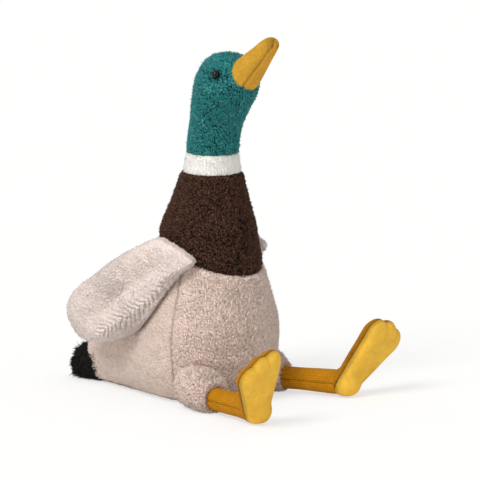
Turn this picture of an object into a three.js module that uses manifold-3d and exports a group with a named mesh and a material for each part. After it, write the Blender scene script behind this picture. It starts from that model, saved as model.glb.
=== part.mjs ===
// A sitting plush duck, 284 mm tall from the floor to the tip of its raised bill.
// Units are millimetres. The duck looks along -Y, its left side is +X and up is +Z.
// The origin is on the floor, under the middle of the belly.
// Each stuffed part is sewn fabric around its own polyester filling, and a pouch of
// beans in the seat holds the toy upright.

import * as THREE from 'three';
import * as BufferGeometryUtils from 'three/addons/utils/BufferGeometryUtils.js';
import Module from 'manifold-3d';

const wasm = await Module();
wasm.setup();

// Driving dimensions
const seam_gap = 0.3;
const joint_gap = 0.5;
const plush_cloth = 2.6;
const rib_cloth = 1.5;
const cut_overrun = 60;
const seat_sink = 0.5;

const trunk_height = 176;
const belly_radius = 54;
const rump_stretch = 72;
const trunk_lean = 8.4;

const neck_seam_front_height = 99;
const neck_seam_back_height = 130;
const neck_seam_front_reach = 36;
const neck_seam_back_reach = 48;
const neck_ball_rim_share = 0.87;
const neck_ball_width_share = 0.9;
const neck_pivot_rise = 21;
const neck_bend_max = THREE.MathUtils.degToRad(13);

const collar_height = 175.5;
const collar_width = 14.5;
const collar_back_set = 2.4;
const collar_ball_rim_share = 1.04;

const head_top_height = 268.4;
const head_radius = 22.6;
const head_forward = 13;

const bill_length = 47.5;
const bill_base_half_width = 15.5;
const bill_base_half_height = 13.2;
const bill_root_forward = 24.5;
const bill_root_drop = 20.4;
const bill_pitch = THREE.MathUtils.degToRad(46);
const lower_bill_share = 0.7;
const bill_seam_taper_share = 0.65;

const eye_radius = 3.1;
const eye_forward = 17;
const eye_drop = 13.9;
const eye_side = 20.6;
const eye_aim_forward_share = 0.24;
const eye_aim_up_share = 0.3;
const shank_radius = 1.1;
const shank_length = 9;
const washer_radius = 4.6;
const washer_thickness = 1.2;
const washer_seat_share = 0.68;

const tail_reach = 138;
const tail_half_width = 14.4;
const tail_half_height = 15.2;
const tail_seam_bottom_reach = 107;
const tail_seam_top_reach = 120;
const tail_seam_top_height = 29;

const wing_root_forward = 15;
const wing_root_side = 43;
const wing_root_height = 115.5;
const wing_sweep = 92;
const wing_drop = 102;
const wing_half_thickness = 8.5;
const wing_rise = THREE.MathUtils.degToRad(20);
const wing_heading = THREE.MathUtils.degToRad(5);
const wing_body_gap = 0.9;

const right_hip_forward = 18;
const left_hip_forward = 4;
const hip_side = 45;
const hip_height = 17;
const hip_ball_radius = 17.5;
const right_leg_splay = THREE.MathUtils.degToRad(15);
const left_leg_splay = THREE.MathUtils.degToRad(13);
const hip_lift_max = THREE.MathUtils.degToRad(30);
const hip_drop_max = THREE.MathUtils.degToRad(10);
const thigh_length = 24;
const thigh_hem_radius = 11.6;
const thigh_hem_drop_share = 0.9;
const shin_hem_radius = 8.7;
const shin_ankle_radius = 9.7;
const shin_tuck = 8;
const leg_length = 76;
const ankle_height = 11;

const heel_ball_radius = 11.5;
const foot_half_thickness = 8.8;
const heel_edge_radius = 11.2;
const toe_radius = 9.5;
const side_toe_reach = 48;
const middle_toe_reach = 49;
const foot_centre_reach = 28;
const toe_spread = THREE.MathUtils.degToRad(14.5);
const foot_lean = THREE.MathUtils.degToRad(31);
const foot_roll = THREE.MathUtils.degToRad(23);
const foot_twist = THREE.MathUtils.degToRad(-4.5);
const ankle_bend_max = THREE.MathUtils.degToRad(20);

const pouch_radius = 30;
const pouch_height = 21;
const pouch_back_set = 14;

// Counts of flat facets around and along each round joint
const neck_facets = { around: 18, along: 6 };
const collar_facets = { around: 16, along: 5 };
const hip_facets = { around: 12, along: 5 };
const heel_facets = { around: 10, along: 4 };
const ball_lining_facets = { around: 8, along: 4 };

// Counts of flat facets around each form, and around the hollow in its cloth
const trunk_facets = { front: 8, rump: 2 };
const trunk_lining_facets = { front: 5, rump: 2 };
const tail_facets = 12;
const tail_lining_facets = 7;
const head_facets = 16;
const head_lining_facets = 12;
const bill_facets = 10;
const bill_lining_facets = 7;
const eye_facets = 10;
const pouch_facets = 14;
const limb_facets = 10;
const limb_lining_facets = 7;
const wing_facets = 16;
const wing_lining_facets = 10;
const toe_facets = 3;
const heel_edge_facets = 2;

// Heights as shares of trunk_height, front radii as shares of belly_radius, the
// stretch of the rump behind the front circle as shares of rump_stretch, the rump
// radius as shares of the front radius, and how far back the front circle stands
// as shares of trunk_lean.
const trunk_shares = [
  { height: -0.003, front: 0.6, stretch: 0.95, rump: 0.18, lean: 1 },
  { height: 0.018, front: 0.71, stretch: 0.95, rump: 0.26, lean: 1 },
  { height: 0.057, front: 0.825, stretch: 0.93, rump: 0.3, lean: 1 },
  { height: 0.114, front: 0.925, stretch: 0.88, rump: 0.3, lean: 1 },
  { height: 0.17, front: 0.972, stretch: 0.81, rump: 0.28, lean: 1 },
  { height: 0.233, front: 0.996, stretch: 0.65, rump: 0.32, lean: 1 },
  { height: 0.295, front: 1, stretch: 0.49, rump: 0.38, lean: 1 },
  { height: 0.352, front: 0.985, stretch: 0.365, rump: 0.45, lean: 0.98 },
  { height: 0.42, front: 0.935, stretch: 0.255, rump: 0.56, lean: 0.95 },
  { height: 0.511, front: 0.848, stretch: 0.14, rump: 0.76, lean: 0.89 },
  { height: 0.591, front: 0.77, stretch: 0.05, rump: 0.9, lean: 0.83 },
  { height: 0.67, front: 0.713, stretch: 0.014, rump: 0.94, lean: 0.8 },
  { height: 0.756, front: 0.657, stretch: 0.01, rump: 0.94, lean: 0.75 },
  { height: 0.864, front: 0.541, stretch: 0.008, rump: 0.94, lean: 0.55 },
  { height: 0.938, front: 0.466, stretch: 0.008, rump: 0.94, lean: 0.38 },
  { height: 1.02, front: 0.4, stretch: 0.008, rump: 0.94, lean: 0.24 },
];

// Head and upper neck: heights as shares of head_top_height, the middle's place
// forward as shares of head_forward, and the two half widths as shares of head_radius.
const head_shares = [
  { height: 0.59, forward: -0.2, along: 0.99, across: 0.99 },
  { height: 0.653, forward: -0.19, along: 0.97, across: 0.97 },
  { height: 0.68, forward: -0.19, along: 0.9, across: 0.9 },
  { height: 0.71, forward: -0.18, along: 0.862, across: 0.862 },
  { height: 0.76, forward: -0.06, along: 0.852, across: 0.85 },
  { height: 0.802, forward: 0.13, along: 0.885, across: 0.872 },
  { height: 0.838, forward: 0.4, along: 0.975, across: 0.925 },
  { height: 0.873, forward: 0.7, along: 1.07, across: 0.98 },
  { height: 0.91, forward: 0.9, along: 1.09, across: 1 },
  { height: 0.946, forward: 1, along: 0.985, across: 0.9 },
  { height: 0.973, forward: 1, along: 0.765, across: 0.7 },
  { height: 0.991, forward: 0.97, along: 0.44, across: 0.4 },
];

// Wing outline: places back along the root seam as shares of wing_sweep, and up as
// shares of wing_drop.
const wing_outline_shares = [
  [0, -0.03], [0.12, 0], [0.27, 0.01], [0.41, -0.015], [0.67, -0.27], [0.85, -0.51],
  [0.985, -0.71], [0.985, -0.88], [0.81, -1], [0.61, -0.97], [0.4, -0.81],
  [0.28, -0.61], [0.18, -0.37], [0.08, -0.15],
];
const wing_centre_shares = [0.52, -0.55];

// A puffed panel: how far each layer is from the middle as shares of the half
// thickness, and how large its outline is.
const puff_shares = [
  { out: -1, size: 0.7 },
  { out: -0.72, size: 0.9 },
  { out: 0, size: 1 },
  { out: 0.72, size: 0.9 },
  { out: 1, size: 0.7 },
];

// Thigh: places along thigh_length, radii as shares of hip_ball_radius, and how far it
// has dropped towards the shin as shares of the drop from hip to ankle. It ends in the
// hem, whose radius is thigh_hem_radius.
const thigh_shares = [
  { along: 0, radius: 0.9, drop: 0 },
  { along: 0.42, radius: 0.92, drop: 0.2 },
  { along: 0.74, radius: 0.82, drop: 0.4 },
];

// Bean pouch: heights as shares of pouch_height and radii as shares of pouch_radius
const pouch_shares = [
  { height: 0, size: 0.8 },
  { height: 0.45, size: 1 },
  { height: 0.8, size: 0.82 },
  { height: 1, size: 0.45 },
];

// Tail: places as shares of tail_reach, and radii as shares of the tail's half sizes.
const tail_shares = [
  { reach: 0.73, size: 1.02, height: 1.16 },
  { reach: 0.8, size: 1.02, height: 1.06 },
  { reach: 0.87, size: 0.93, height: 0.93 },
  { reach: 0.93, size: 0.76, height: 0.82 },
  { reach: 0.975, size: 0.46, height: 0.72 },
];

// Bill: places as shares of bill_length and sizes as shares of the base's half sizes.
const bill_shares = [
  { along: -0.28, wide: 1.01, high: 1.01 },
  { along: 0, wide: 1, high: 1 },
  { along: 0.22, wide: 0.93, high: 0.88 },
  { along: 0.46, wide: 0.83, high: 0.72 },
  { along: 0.7, wide: 0.71, high: 0.57 },
  { along: 0.86, wide: 0.59, high: 0.46 },
  { along: 0.96, wide: 0.38, high: 0.3 },
];

const materials = {
  belly: makeMaterial('#cdb8ae', 0.96),
  wing: makeMaterial('#d3c1b8', 0.96),
  chest: makeMaterial('#42302a', 0.97),
  collar: makeMaterial('#ece8df', 0.95),
  head: makeMaterial('#1f7a72', 0.93),
  tail: makeMaterial('#1c1b1a', 0.97),
  rib: makeMaterial('#dc9d22', 0.85),
  sole: makeMaterial('#e5b045', 0.8),
  filling: makeMaterial('#f2f1ec', 1),
  pouch: makeMaterial('#d8d2c4', 0.9),
  eye: makeMaterial('#0b0b0c', 0.08),
  washer: makeMaterial('#dedede', 0.5),
};

function makeMaterial(colour, roughness) {
  return { color: colour, roughness: roughness, metalness: 0 };
}

// A place given by how far forward, how far to the duck's left and how high it is
function place(forward, left, height) {
  return new THREE.Vector3(left, -forward, height);
}

// Turns a closed geometry into a solid whose faces point outwards
function toSolid(geometry) {
  const bare = geometry.clone();
  bare.deleteAttribute('normal');
  bare.deleteAttribute('uv');
  const merged = BufferGeometryUtils.mergeVertices(bare);
  const positions = Float32Array.from(merged.getAttribute('position').array);
  const corners = merged.getIndex().array;
  const kept = [];
  let volume = 0;
  const a = new THREE.Vector3();
  const b = new THREE.Vector3();
  const c = new THREE.Vector3();
  for (let i = 0; i < corners.length; i += 3) {
    const [p, q, r] = [corners[i], corners[i + 1], corners[i + 2]];
    if (p === q || q === r || r === p) continue;
    kept.push(p, q, r);
    a.fromArray(positions, 3 * p);
    b.fromArray(positions, 3 * q);
    c.fromArray(positions, 3 * r);
    volume += a.dot(b.cross(c));
  }
  const triVerts = Uint32Array.from(kept);
  if (volume < 0) triVerts.reverse();
  return new wasm.Manifold(new wasm.Mesh({ numProp: 3, vertProperties: positions, triVerts }));
}

// The rings that a lining keeps: every other one, and the last
function everyOther(shares) {
  return shares.filter((share, i) => i % 2 === 0 || i + 1 === shares.length);
}

// A closed skin over a row of rings that all have the same number of points
function loft(rings) {
  const count = rings[0].length;
  const points = rings.flat();
  const corners = [];
  for (let i = 0; i + 1 < rings.length; i++) {
    for (let j = 0; j < count; j++) {
      const here = i * count + j;
      const next = i * count + (j + 1) % count;
      corners.push(here, next, next + count, here, next + count, here + count);
    }
  }
  const middle = (ring) => ring.reduce((sum, p) => sum.add(p), new THREE.Vector3()).divideScalar(count);
  points.push(middle(rings[0]), middle(rings[rings.length - 1]));
  const last = (rings.length - 1) * count;
  for (let j = 0; j < count; j++) {
    const next = (j + 1) % count;
    corners.push(next, j, points.length - 2);
    corners.push(last + j, last + next, points.length - 1);
  }
  const geometry = new THREE.BufferGeometry().setFromPoints(points);
  geometry.setIndex(corners);
  return geometry;
}

// An upright ellipse or circle of points around a centre, square to +Z
function levelRing(centre, along, across, count) {
  const ring = [];
  for (let j = 0; j < count; j++) {
    const turn = 2 * Math.PI * j / count;
    ring.push(new THREE.Vector3(centre.x + across * Math.sin(turn), centre.y - along * Math.cos(turn), centre.z));
  }
  return ring;
}

// The same, square to +Y
function uprightRing(centre, wide, high, count) {
  const ring = [];
  for (let j = 0; j < count; j++) {
    const turn = 2 * Math.PI * j / count;
    ring.push(new THREE.Vector3(centre.x + wide * Math.sin(turn), centre.y, centre.z + high * Math.cos(turn)));
  }
  return ring;
}

// A ball whose poles lie on the axis that it turns about, where it may be narrower
function ball(centre, radius, axis, facets, width_share = 1) {
  const geometry = new THREE.SphereGeometry(radius, facets.around, facets.along);
  geometry.scale(1, width_share, 1);
  const turn = new THREE.Quaternion().setFromUnitVectors(new THREE.Vector3(0, 1, 0), axis);
  geometry.applyQuaternion(turn);
  geometry.translate(centre.x, centre.y, centre.z);
  return geometry;
}

// The radius of a cup that clears a faceted ball at every turn
function cupRadius(radius, facets) {
  return (radius + joint_gap) / Math.cos(Math.PI / facets.around);
}

// A large block on one side of a plane, towards its normal
function blockBeyond(point, normal, reach) {
  const geometry = new THREE.BoxGeometry(2 * reach, 2 * reach, reach);
  geometry.translate(0, 0, reach / 2);
  geometry.applyQuaternion(new THREE.Quaternion().setFromUnitVectors(new THREE.Vector3(0, 0, 1), normal));
  geometry.translate(point.x, point.y, point.z);
  return toSolid(geometry);
}

const block_reach = head_top_height + tail_reach + cut_overrun;
const up = new THREE.Vector3(0, 0, 1);
const down = new THREE.Vector3(0, 0, -1);
const leftward = new THREE.Vector3(1, 0, 0);
const above_floor = blockBeyond(place(0, 0, 0), up, block_reach);

// Groups stand where the parts are sewn on, so that each turns about its own seam
const duck = new THREE.Group();
const neck_group = new THREE.Group();
const head_group = new THREE.Group();
duck.add(neck_group);
neck_group.add(head_group);

// The neck turns on a ball of filling in the body's cup, under the chest seam
const neck_seam_run = neck_seam_front_reach + neck_seam_back_reach;
const neck_seam_tilt = Math.atan2(neck_seam_back_height - neck_seam_front_height, neck_seam_run);
const neck_seam_centre = place(
  (neck_seam_front_reach - neck_seam_back_reach) / 2,
  0,
  (neck_seam_front_height + neck_seam_back_height) / 2,
);
const neck_seam_normal = place(Math.sin(neck_seam_tilt), 0, Math.cos(neck_seam_tilt));
const neck_pivot = neck_seam_centre.clone().addScaledVector(neck_seam_normal, neck_pivot_rise);
const neck_ball_radius = Math.hypot(neck_ball_rim_share * belly_radius, neck_pivot_rise);
neck_group.position.copy(neck_pivot);

const head_pivot = place(-collar_back_set, 0, collar_height + collar_width);
const head_ball_radius = Math.hypot(collar_ball_rim_share * head_radius, collar_width);
head_group.position.copy(head_pivot).sub(neck_pivot);
duck.updateMatrixWorld(true);

// Adds one finished solid, made in the duck's own frame, to the group that carries it
function addPiece(group, name, solid, material) {
  const mesh = solid.getMesh();
  const positions = new Float32Array(mesh.numVert * 3);
  for (let i = 0; i < mesh.numVert; i++) {
    for (let k = 0; k < 3; k++) positions[3 * i + k] = mesh.vertProperties[i * mesh.numProp + k];
  }
  const geometry = new THREE.BufferGeometry();
  geometry.setAttribute('position', new THREE.BufferAttribute(positions, 3));
  geometry.setIndex([...mesh.triVerts]);
  geometry.applyMatrix4(group.matrixWorld.clone().invert());
  geometry.computeVertexNormals();
  const piece = new THREE.Mesh(geometry, new THREE.MeshStandardMaterial(material));
  piece.name = name;
  group.add(piece);
}

// Body and brown neck share one outer form. A level is a round front circle and a
// smaller rump circle behind it, joined by straight flanks.
function trunkRing(share, inset, facets) {
  const front_radius = share.front * belly_radius - inset;
  const rump_radius = share.front * share.rump * belly_radius - inset * Math.min(1, 2 * share.rump);
  const back = share.lean * trunk_lean;
  const stretch = share.stretch * rump_stretch;
  const apart = share.front * belly_radius * (1 - share.rump) + stretch;
  const meet = Math.acos(THREE.MathUtils.clamp((front_radius - rump_radius) / apart, -1, 1));
  const height = share.height * trunk_height;
  const half = [];
  for (let j = 0; j <= facets.front; j++) {
    const turn = (Math.PI - meet) * j / facets.front;
    half.push([-back + front_radius * Math.cos(turn), front_radius * Math.sin(turn)]);
  }
  for (let j = 0; j <= facets.rump; j++) {
    const turn = Math.PI - meet + meet * j / facets.rump;
    half.push([-back - apart + rump_radius * Math.cos(turn), rump_radius * Math.sin(turn)]);
  }
  const ring = half.map(([forward, side]) => place(forward, side, height));
  for (let j = half.length - 2; j > 0; j--) ring.push(place(half[j][0], -half[j][1], height));
  return ring;
}

function trunk(inset, floor_height, facets, shares) {
  const rings = shares.map((share) => trunkRing(share, inset, facets));
  for (const point of rings[0]) point.z = floor_height;
  return loft(rings.filter((ring, i) => i === 0 || ring[0].z > floor_height + inset / 2));
}

function trunkLining(inset) {
  return toSolid(trunk(inset, inset, trunk_lining_facets, everyOther(trunk_shares)));
}

const trunk_outer = toSolid(trunk(0, -seat_sink, trunk_facets, trunk_shares));
const trunk_lining = trunkLining(plush_cloth);
const trunk_core = trunkLining(plush_cloth + seam_gap);

// What the wings stay clear of: the trunk, and the neck where it bends forward and back
function neckBent(turn) {
  const shares = trunk_shares.filter(({ height }) => height * trunk_height > neck_seam_front_height);
  const geometry = trunk(-wing_body_gap, neck_seam_front_height, trunk_facets, shares);
  geometry.translate(-neck_pivot.x, -neck_pivot.y, -neck_pivot.z);
  geometry.rotateX(turn);
  geometry.translate(neck_pivot.x, neck_pivot.y, neck_pivot.z);
  return toSolid(geometry);
}

const trunk_clear = toSolid(trunk(-wing_body_gap, -seat_sink, trunk_facets, trunk_shares))
  .add(neckBent(neck_bend_max))
  .add(neckBent(-neck_bend_max));

// The chest seam between body and neck
function neckBall(radius) {
  return toSolid(ball(neck_pivot, radius, leftward, neck_facets, neck_ball_width_share));
}

const neck_ball = neckBall(neck_ball_radius);
const neck_cup = neckBall(cupRadius(neck_ball_radius, neck_facets));
const above_neck_seam = blockBeyond(neck_seam_centre, neck_seam_normal, block_reach);
const above_neck_gap = blockBeyond(
  neck_seam_centre.clone().addScaledVector(neck_seam_normal, -joint_gap),
  neck_seam_normal,
  block_reach,
);
const neck_zone = above_neck_seam.add(neck_ball);
const not_body = above_neck_gap.add(neck_cup);

// The tail's seam leans back over the rump
const tail_seam_normal = place(
  -tail_seam_top_height,
  0,
  tail_seam_bottom_reach - tail_seam_top_reach,
).normalize();
const tail_seam_foot = place(-tail_seam_bottom_reach, 0, 0);
const behind_tail_seam = blockBeyond(tail_seam_foot, tail_seam_normal, block_reach);
const tail_gap_foot = tail_seam_foot.clone().addScaledVector(tail_seam_normal, -seam_gap);
const not_rump = blockBeyond(tail_gap_foot, tail_seam_normal, block_reach);

// Hips: each leg group stands at its hip and is turned outwards by the splay
const leg_poses = [
  { side_name: 'right', side: -1, hip_forward: right_hip_forward, splay: right_leg_splay },
  { side_name: 'left', side: 1, hip_forward: left_hip_forward, splay: left_leg_splay },
];
const legs = leg_poses.map(({ side_name, side, hip_forward, splay }) => {
  const leg_group = new THREE.Group();
  leg_group.position.copy(place(hip_forward, side * hip_side, hip_height));
  leg_group.rotation.z = side * splay;
  const foot_group = new THREE.Group();
  foot_group.position.set(0, -leg_length, ankle_height - hip_height);
  foot_group.rotation.order = 'YXZ';
  foot_group.rotation.set(foot_lean, side * foot_roll, side * foot_twist);
  leg_group.add(foot_group);
  duck.add(leg_group);
  duck.updateMatrixWorld(true);
  const hip = new THREE.Vector3().setFromMatrixPosition(leg_group.matrixWorld);
  const ankle = new THREE.Vector3().setFromMatrixPosition(foot_group.matrixWorld);
  const hip_axis = leftward.clone().transformDirection(leg_group.matrixWorld);
  const ankle_axis = leftward.clone().transformDirection(foot_group.matrixWorld);
  return { side_name, leg_group, foot_group, hip, ankle, hip_axis, ankle_axis };
});

// A round limb along the leg's own length, with rings at given places and radii
function limb(rings, inset, count) {
  return loft(rings.map(({ along, radius, drop }) => uprightRing(
    new THREE.Vector3(0, -along, -drop),
    radius - inset,
    radius - inset,
    count,
  )));
}

const shin_drop = hip_height - ankle_height;

function thighRings(extra, shares) {
  const rings = shares.map(({ along, radius, drop }) => ({
    along: along * thigh_length,
    radius: radius * hip_ball_radius,
    drop: drop * shin_drop,
  }));
  rings.push({
    along: thigh_length + extra,
    radius: thigh_hem_radius,
    drop: thigh_hem_drop_share * shin_drop,
  });
  return rings;
}

function shinRings(start, end) {
  return [
    { along: start, radius: shin_hem_radius, drop: shin_drop },
    { along: (start + end) / 2, radius: (shin_hem_radius + shin_ankle_radius) / 2, drop: shin_drop },
    { along: end, radius: shin_ankle_radius, drop: shin_drop },
  ];
}

function legSolid(leg, geometry) {
  return toSolid(geometry.applyMatrix4(leg.leg_group.matrixWorld));
}

// The thigh's outer form, with the ball that turns in the hip
function thighSolid(leg, rings, inset, count, ball_facets) {
  const tube = legSolid(leg, limb(rings, inset, count));
  return tube.add(toSolid(ball(leg.hip, hip_ball_radius - inset, leg.hip_axis, ball_facets)));
}

function thighLining(leg, inset, extra) {
  const rings = thighRings(extra, everyOther(thigh_shares));
  return thighSolid(leg, rings, inset, limb_lining_facets, ball_lining_facets);
}

// The space that a part of a group fills while the group turns about its own X
function sweptSpace(group, turns, solidThere) {
  const rest = group.quaternion.clone();
  const solids = turns.map((turn) => {
    group.quaternion.copy(rest).multiply(new THREE.Quaternion().setFromAxisAngle(leftward, turn));
    duck.updateMatrixWorld(true);
    return solidThere();
  });
  group.quaternion.copy(rest);
  duck.updateMatrixWorld(true);
  return solids.reduce((joined, solid) => joined.add(solid));
}

// The hollow that the body leaves for a thigh, from rest to its highest lift
function hipHollow(leg) {
  const cup = toSolid(ball(leg.hip, cupRadius(hip_ball_radius, hip_facets), leg.hip_axis, hip_facets));
  const lifts = [hip_drop_max, 0, -hip_lift_max / 2, -hip_lift_max];
  const rings = thighRings(0, thigh_shares);
  return cup.add(sweptSpace(leg.leg_group, lifts, () => legSolid(leg, limb(rings, -joint_gap, limb_facets))));
}

// Body: belly panel, two side panels that meet along the back, and a flat seat panel
let body_form = trunk_outer.intersect(above_floor).subtract(not_body).subtract(not_rump);
for (const leg of legs) body_form = body_form.subtract(hipHollow(leg));
const body_cloth = body_form.subtract(trunk_lining);
const seat_top = place(0, 0, plush_cloth - seam_gap);
const above_seat = blockBeyond(seat_top.clone().addScaledVector(up, seam_gap), up, block_reach);
const below_seat = blockBeyond(seat_top, down, block_reach);
const belly_seam = place(0, 0, 0);
const before_belly_seam = blockBeyond(belly_seam, place(1, 0, 0), block_reach);
const after_belly_seam = blockBeyond(place(-seam_gap, 0, 0), place(-1, 0, 0), block_reach);
const sides = [['right', -1], ['left', 1]];
const beyond_middle = (side) => blockBeyond(
  place(0, side * seam_gap / 2, 0),
  place(0, side, 0),
  block_reach,
);
const upper_cloth = body_cloth.intersect(above_seat);
addPiece(duck, 'seat_panel', body_cloth.intersect(below_seat), materials.belly);
addPiece(duck, 'belly_panel', upper_cloth.intersect(before_belly_seam), materials.belly);
for (const [side_name, side] of sides) {
  const panel = upper_cloth.intersect(after_belly_seam).intersect(beyond_middle(side));
  addPiece(duck, `side_panel_${side_name}`, panel, materials.belly);
}

// Bean pouch: a low round bag on the seat panel, with the filling packed over it
function pouch(extra, bottom) {
  return toSolid(loft(pouch_shares.map(({ height, size }) => levelRing(
    place(-pouch_back_set, 0, height > 0 ? pouch_floor + height * pouch_height + extra : bottom),
    size * pouch_radius + extra,
    size * pouch_radius + extra,
    pouch_facets,
  ))));
}

const pouch_floor = plush_cloth + seam_gap;
const body_core = body_form.intersect(trunk_core);
addPiece(duck, 'body_filling', body_core.subtract(pouch(seam_gap, -seat_sink)), materials.filling);
addPiece(duck, 'bean_pouch', pouch(0, pouch_floor), materials.pouch);

// Tail: a short black plush stub that droops to the floor
function tail(inset, count) {
  return toSolid(loft(tail_shares.map(({ reach, size, height }) => uprightRing(
    place(-reach * tail_reach, 0, height * tail_half_height),
    size * tail_half_width - inset,
    size * tail_half_height - inset,
    count,
  ))));
}

const tail_form = tail(0, tail_facets).intersect(above_floor).intersect(behind_tail_seam);
addPiece(duck, 'tail_cover', tail_form.subtract(tail(plush_cloth, tail_lining_facets)), materials.tail);
const tail_core = tail_form.intersect(tail(plush_cloth + seam_gap, tail_lining_facets));
addPiece(duck, 'tail_filling', tail_core, materials.filling);

// Neck: the brown cone, with a cup at its top for the collar's ball
const head_cup = toSolid(ball(head_pivot, cupRadius(head_ball_radius, collar_facets), leftward, collar_facets));
const collar_foot = place(-collar_back_set, 0, collar_height);
const above_collar_gap = blockBeyond(collar_foot.clone().addScaledVector(down, joint_gap), up, block_reach);
const neck_form = trunk_outer.intersect(neck_zone).subtract(above_collar_gap).subtract(head_cup);
addPiece(neck_group, 'neck_cover', neck_form.subtract(trunk_lining), materials.chest);
addPiece(neck_group, 'neck_filling', neck_form.intersect(trunk_core), materials.filling);

// Head and upper neck over the cream collar
function head(inset, count, shares) {
  return toSolid(loft(shares.map(({ height, forward, along, across }, i) => levelRing(
    place(forward * head_forward, 0, height * head_top_height - (i + 1 === shares.length ? inset : 0)),
    along * head_radius - inset,
    across * head_radius - inset,
    count,
  ))));
}

function headLining(inset) {
  return head(inset, head_lining_facets, everyOther(head_shares));
}

const head_ball = toSolid(ball(head_pivot, head_ball_radius, leftward, collar_facets));
const head_zone = blockBeyond(collar_foot, up, block_reach).add(head_ball);
const head_form = head(0, head_facets, head_shares).intersect(head_zone);
const head_core = head_form.intersect(headLining(plush_cloth + seam_gap));
const collar_top = collar_foot.clone().addScaledVector(up, collar_width);
const above_collar = blockBeyond(collar_top.clone().addScaledVector(up, seam_gap), up, block_reach);
const below_collar_top = blockBeyond(collar_top, down, block_reach);

// Safety eyes: a domed button on a shank, held inside the head by a washer
function eyeTurn(side) {
  const aim = place(eye_aim_forward_share, side, eye_aim_up_share).normalize();
  return new THREE.Quaternion().setFromUnitVectors(new THREE.Vector3(0, 1, 0), aim);
}

function onEye(side, profile) {
  const points = profile.map(([radius, out]) => new THREE.Vector2(radius, out));
  const geometry = new THREE.LatheGeometry(points, eye_facets);
  geometry.applyQuaternion(eyeTurn(side));
  const seat = place(eye_forward, side * eye_side, head_top_height - eye_drop);
  geometry.translate(seat.x, seat.y, seat.z);
  return toSolid(geometry);
}

const dome_shares = [[1, 0], [0.96, 0.3], [0.8, 0.62], [0.5, 0.88], [0, 1]];

function eyeProfile(gap) {
  const profile = [[0, -shank_length - gap], [shank_radius + gap, -shank_length - gap], [shank_radius + gap, -gap]];
  for (const [size, out] of dome_shares) {
    const radius = size > 0 ? size * eye_radius + gap : 0;
    profile.push([radius, size < 1 ? out * eye_radius + gap : -gap]);
  }
  return profile;
}

const washer_out = -shank_length * washer_seat_share;

function washerProfile() {
  const inner = shank_radius + seam_gap;
  return [
    [inner, washer_out],
    [washer_radius, washer_out],
    [washer_radius, washer_out - washer_thickness],
    [inner, washer_out - washer_thickness],
    [inner, washer_out],
  ];
}

// The way through the cloth and filling, open from the outside down to the washer
function eyeWay(side) {
  const wide = washer_radius + seam_gap;
  const floor_out = washer_out - washer_thickness - seam_gap;
  return onEye(side, [[0, floor_out], [wide, floor_out], [wide, eye_radius], [0, eye_radius]]);
}

let head_cloth = head_form.subtract(headLining(plush_cloth));
let head_filling = head_core;
for (const [, side] of sides) {
  head_cloth = head_cloth.subtract(onEye(side, eyeProfile(seam_gap)));
  head_filling = head_filling.subtract(eyeWay(side)).subtract(onEye(side, eyeProfile(seam_gap)));
}
addPiece(head_group, 'collar_band', head_cloth.intersect(below_collar_top), materials.collar);
for (const [side_name, side] of sides) {
  const panel = head_cloth.intersect(above_collar).intersect(beyond_middle(side));
  addPiece(head_group, `head_panel_${side_name}`, panel, materials.head);
  addPiece(head_group, `eye_${side_name}`, onEye(side, eyeProfile(0)), materials.eye);
  addPiece(head_group, `eye_washer_${side_name}`, onEye(side, washerProfile()), materials.washer);
}
addPiece(head_group, 'head_filling', head_filling, materials.filling);

// Bill: an upper and a lower panel of ribbed cloth, sewn along both sides
const bill_root = place(bill_root_forward, 0, head_top_height - bill_root_drop);
const bill_group = new THREE.Group();
bill_group.position.copy(bill_root).sub(head_pivot);
bill_group.rotation.x = -bill_pitch;
head_group.add(bill_group);
duck.updateMatrixWorld(true);

function bill(inset, count) {
  const geometry = loft(bill_shares.map(({ along, wide, high }, i) => uprightRing(
    new THREE.Vector3(0, -along * bill_length + (i + 1 === bill_shares.length ? inset : 0), 0),
    wide * bill_base_half_width - inset,
    high * bill_base_half_height - inset,
    count,
  )));
  return toSolid(geometry.applyMatrix4(bill_group.matrixWorld));
}

const head_clear = head(-seam_gap, head_facets, head_shares);
const bill_form = bill(0, bill_facets).subtract(head_clear);
const bill_cloth = bill_form.subtract(bill(rib_cloth, bill_lining_facets));
const bill_up = up.clone().transformDirection(bill_group.matrixWorld);
const bill_seam = bill_root.clone().addScaledVector(bill_up, -lower_bill_share * bill_base_half_height);
const bill_ahead = place(Math.cos(bill_pitch), 0, Math.sin(bill_pitch));
const bill_seam_fall = bill_seam_taper_share * lower_bill_share * bill_base_half_height / bill_length;
const bill_seam_normal = bill_up.clone().addScaledVector(bill_ahead, -bill_seam_fall).normalize();
const above_bill_seam = blockBeyond(bill_seam, bill_seam_normal, block_reach);
const below_bill_seam = blockBeyond(
  bill_seam.clone().addScaledVector(bill_seam_normal, -seam_gap),
  bill_seam_normal.clone().negate(),
  block_reach,
);
addPiece(bill_group, 'upper_bill', bill_cloth.intersect(above_bill_seam), materials.rib);
addPiece(bill_group, 'lower_bill', bill_cloth.intersect(below_bill_seam), materials.sole);
const bill_core = bill_form.intersect(bill(rib_cloth + seam_gap, bill_lining_facets));
addPiece(bill_group, 'bill_filling', bill_core, materials.filling);

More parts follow.
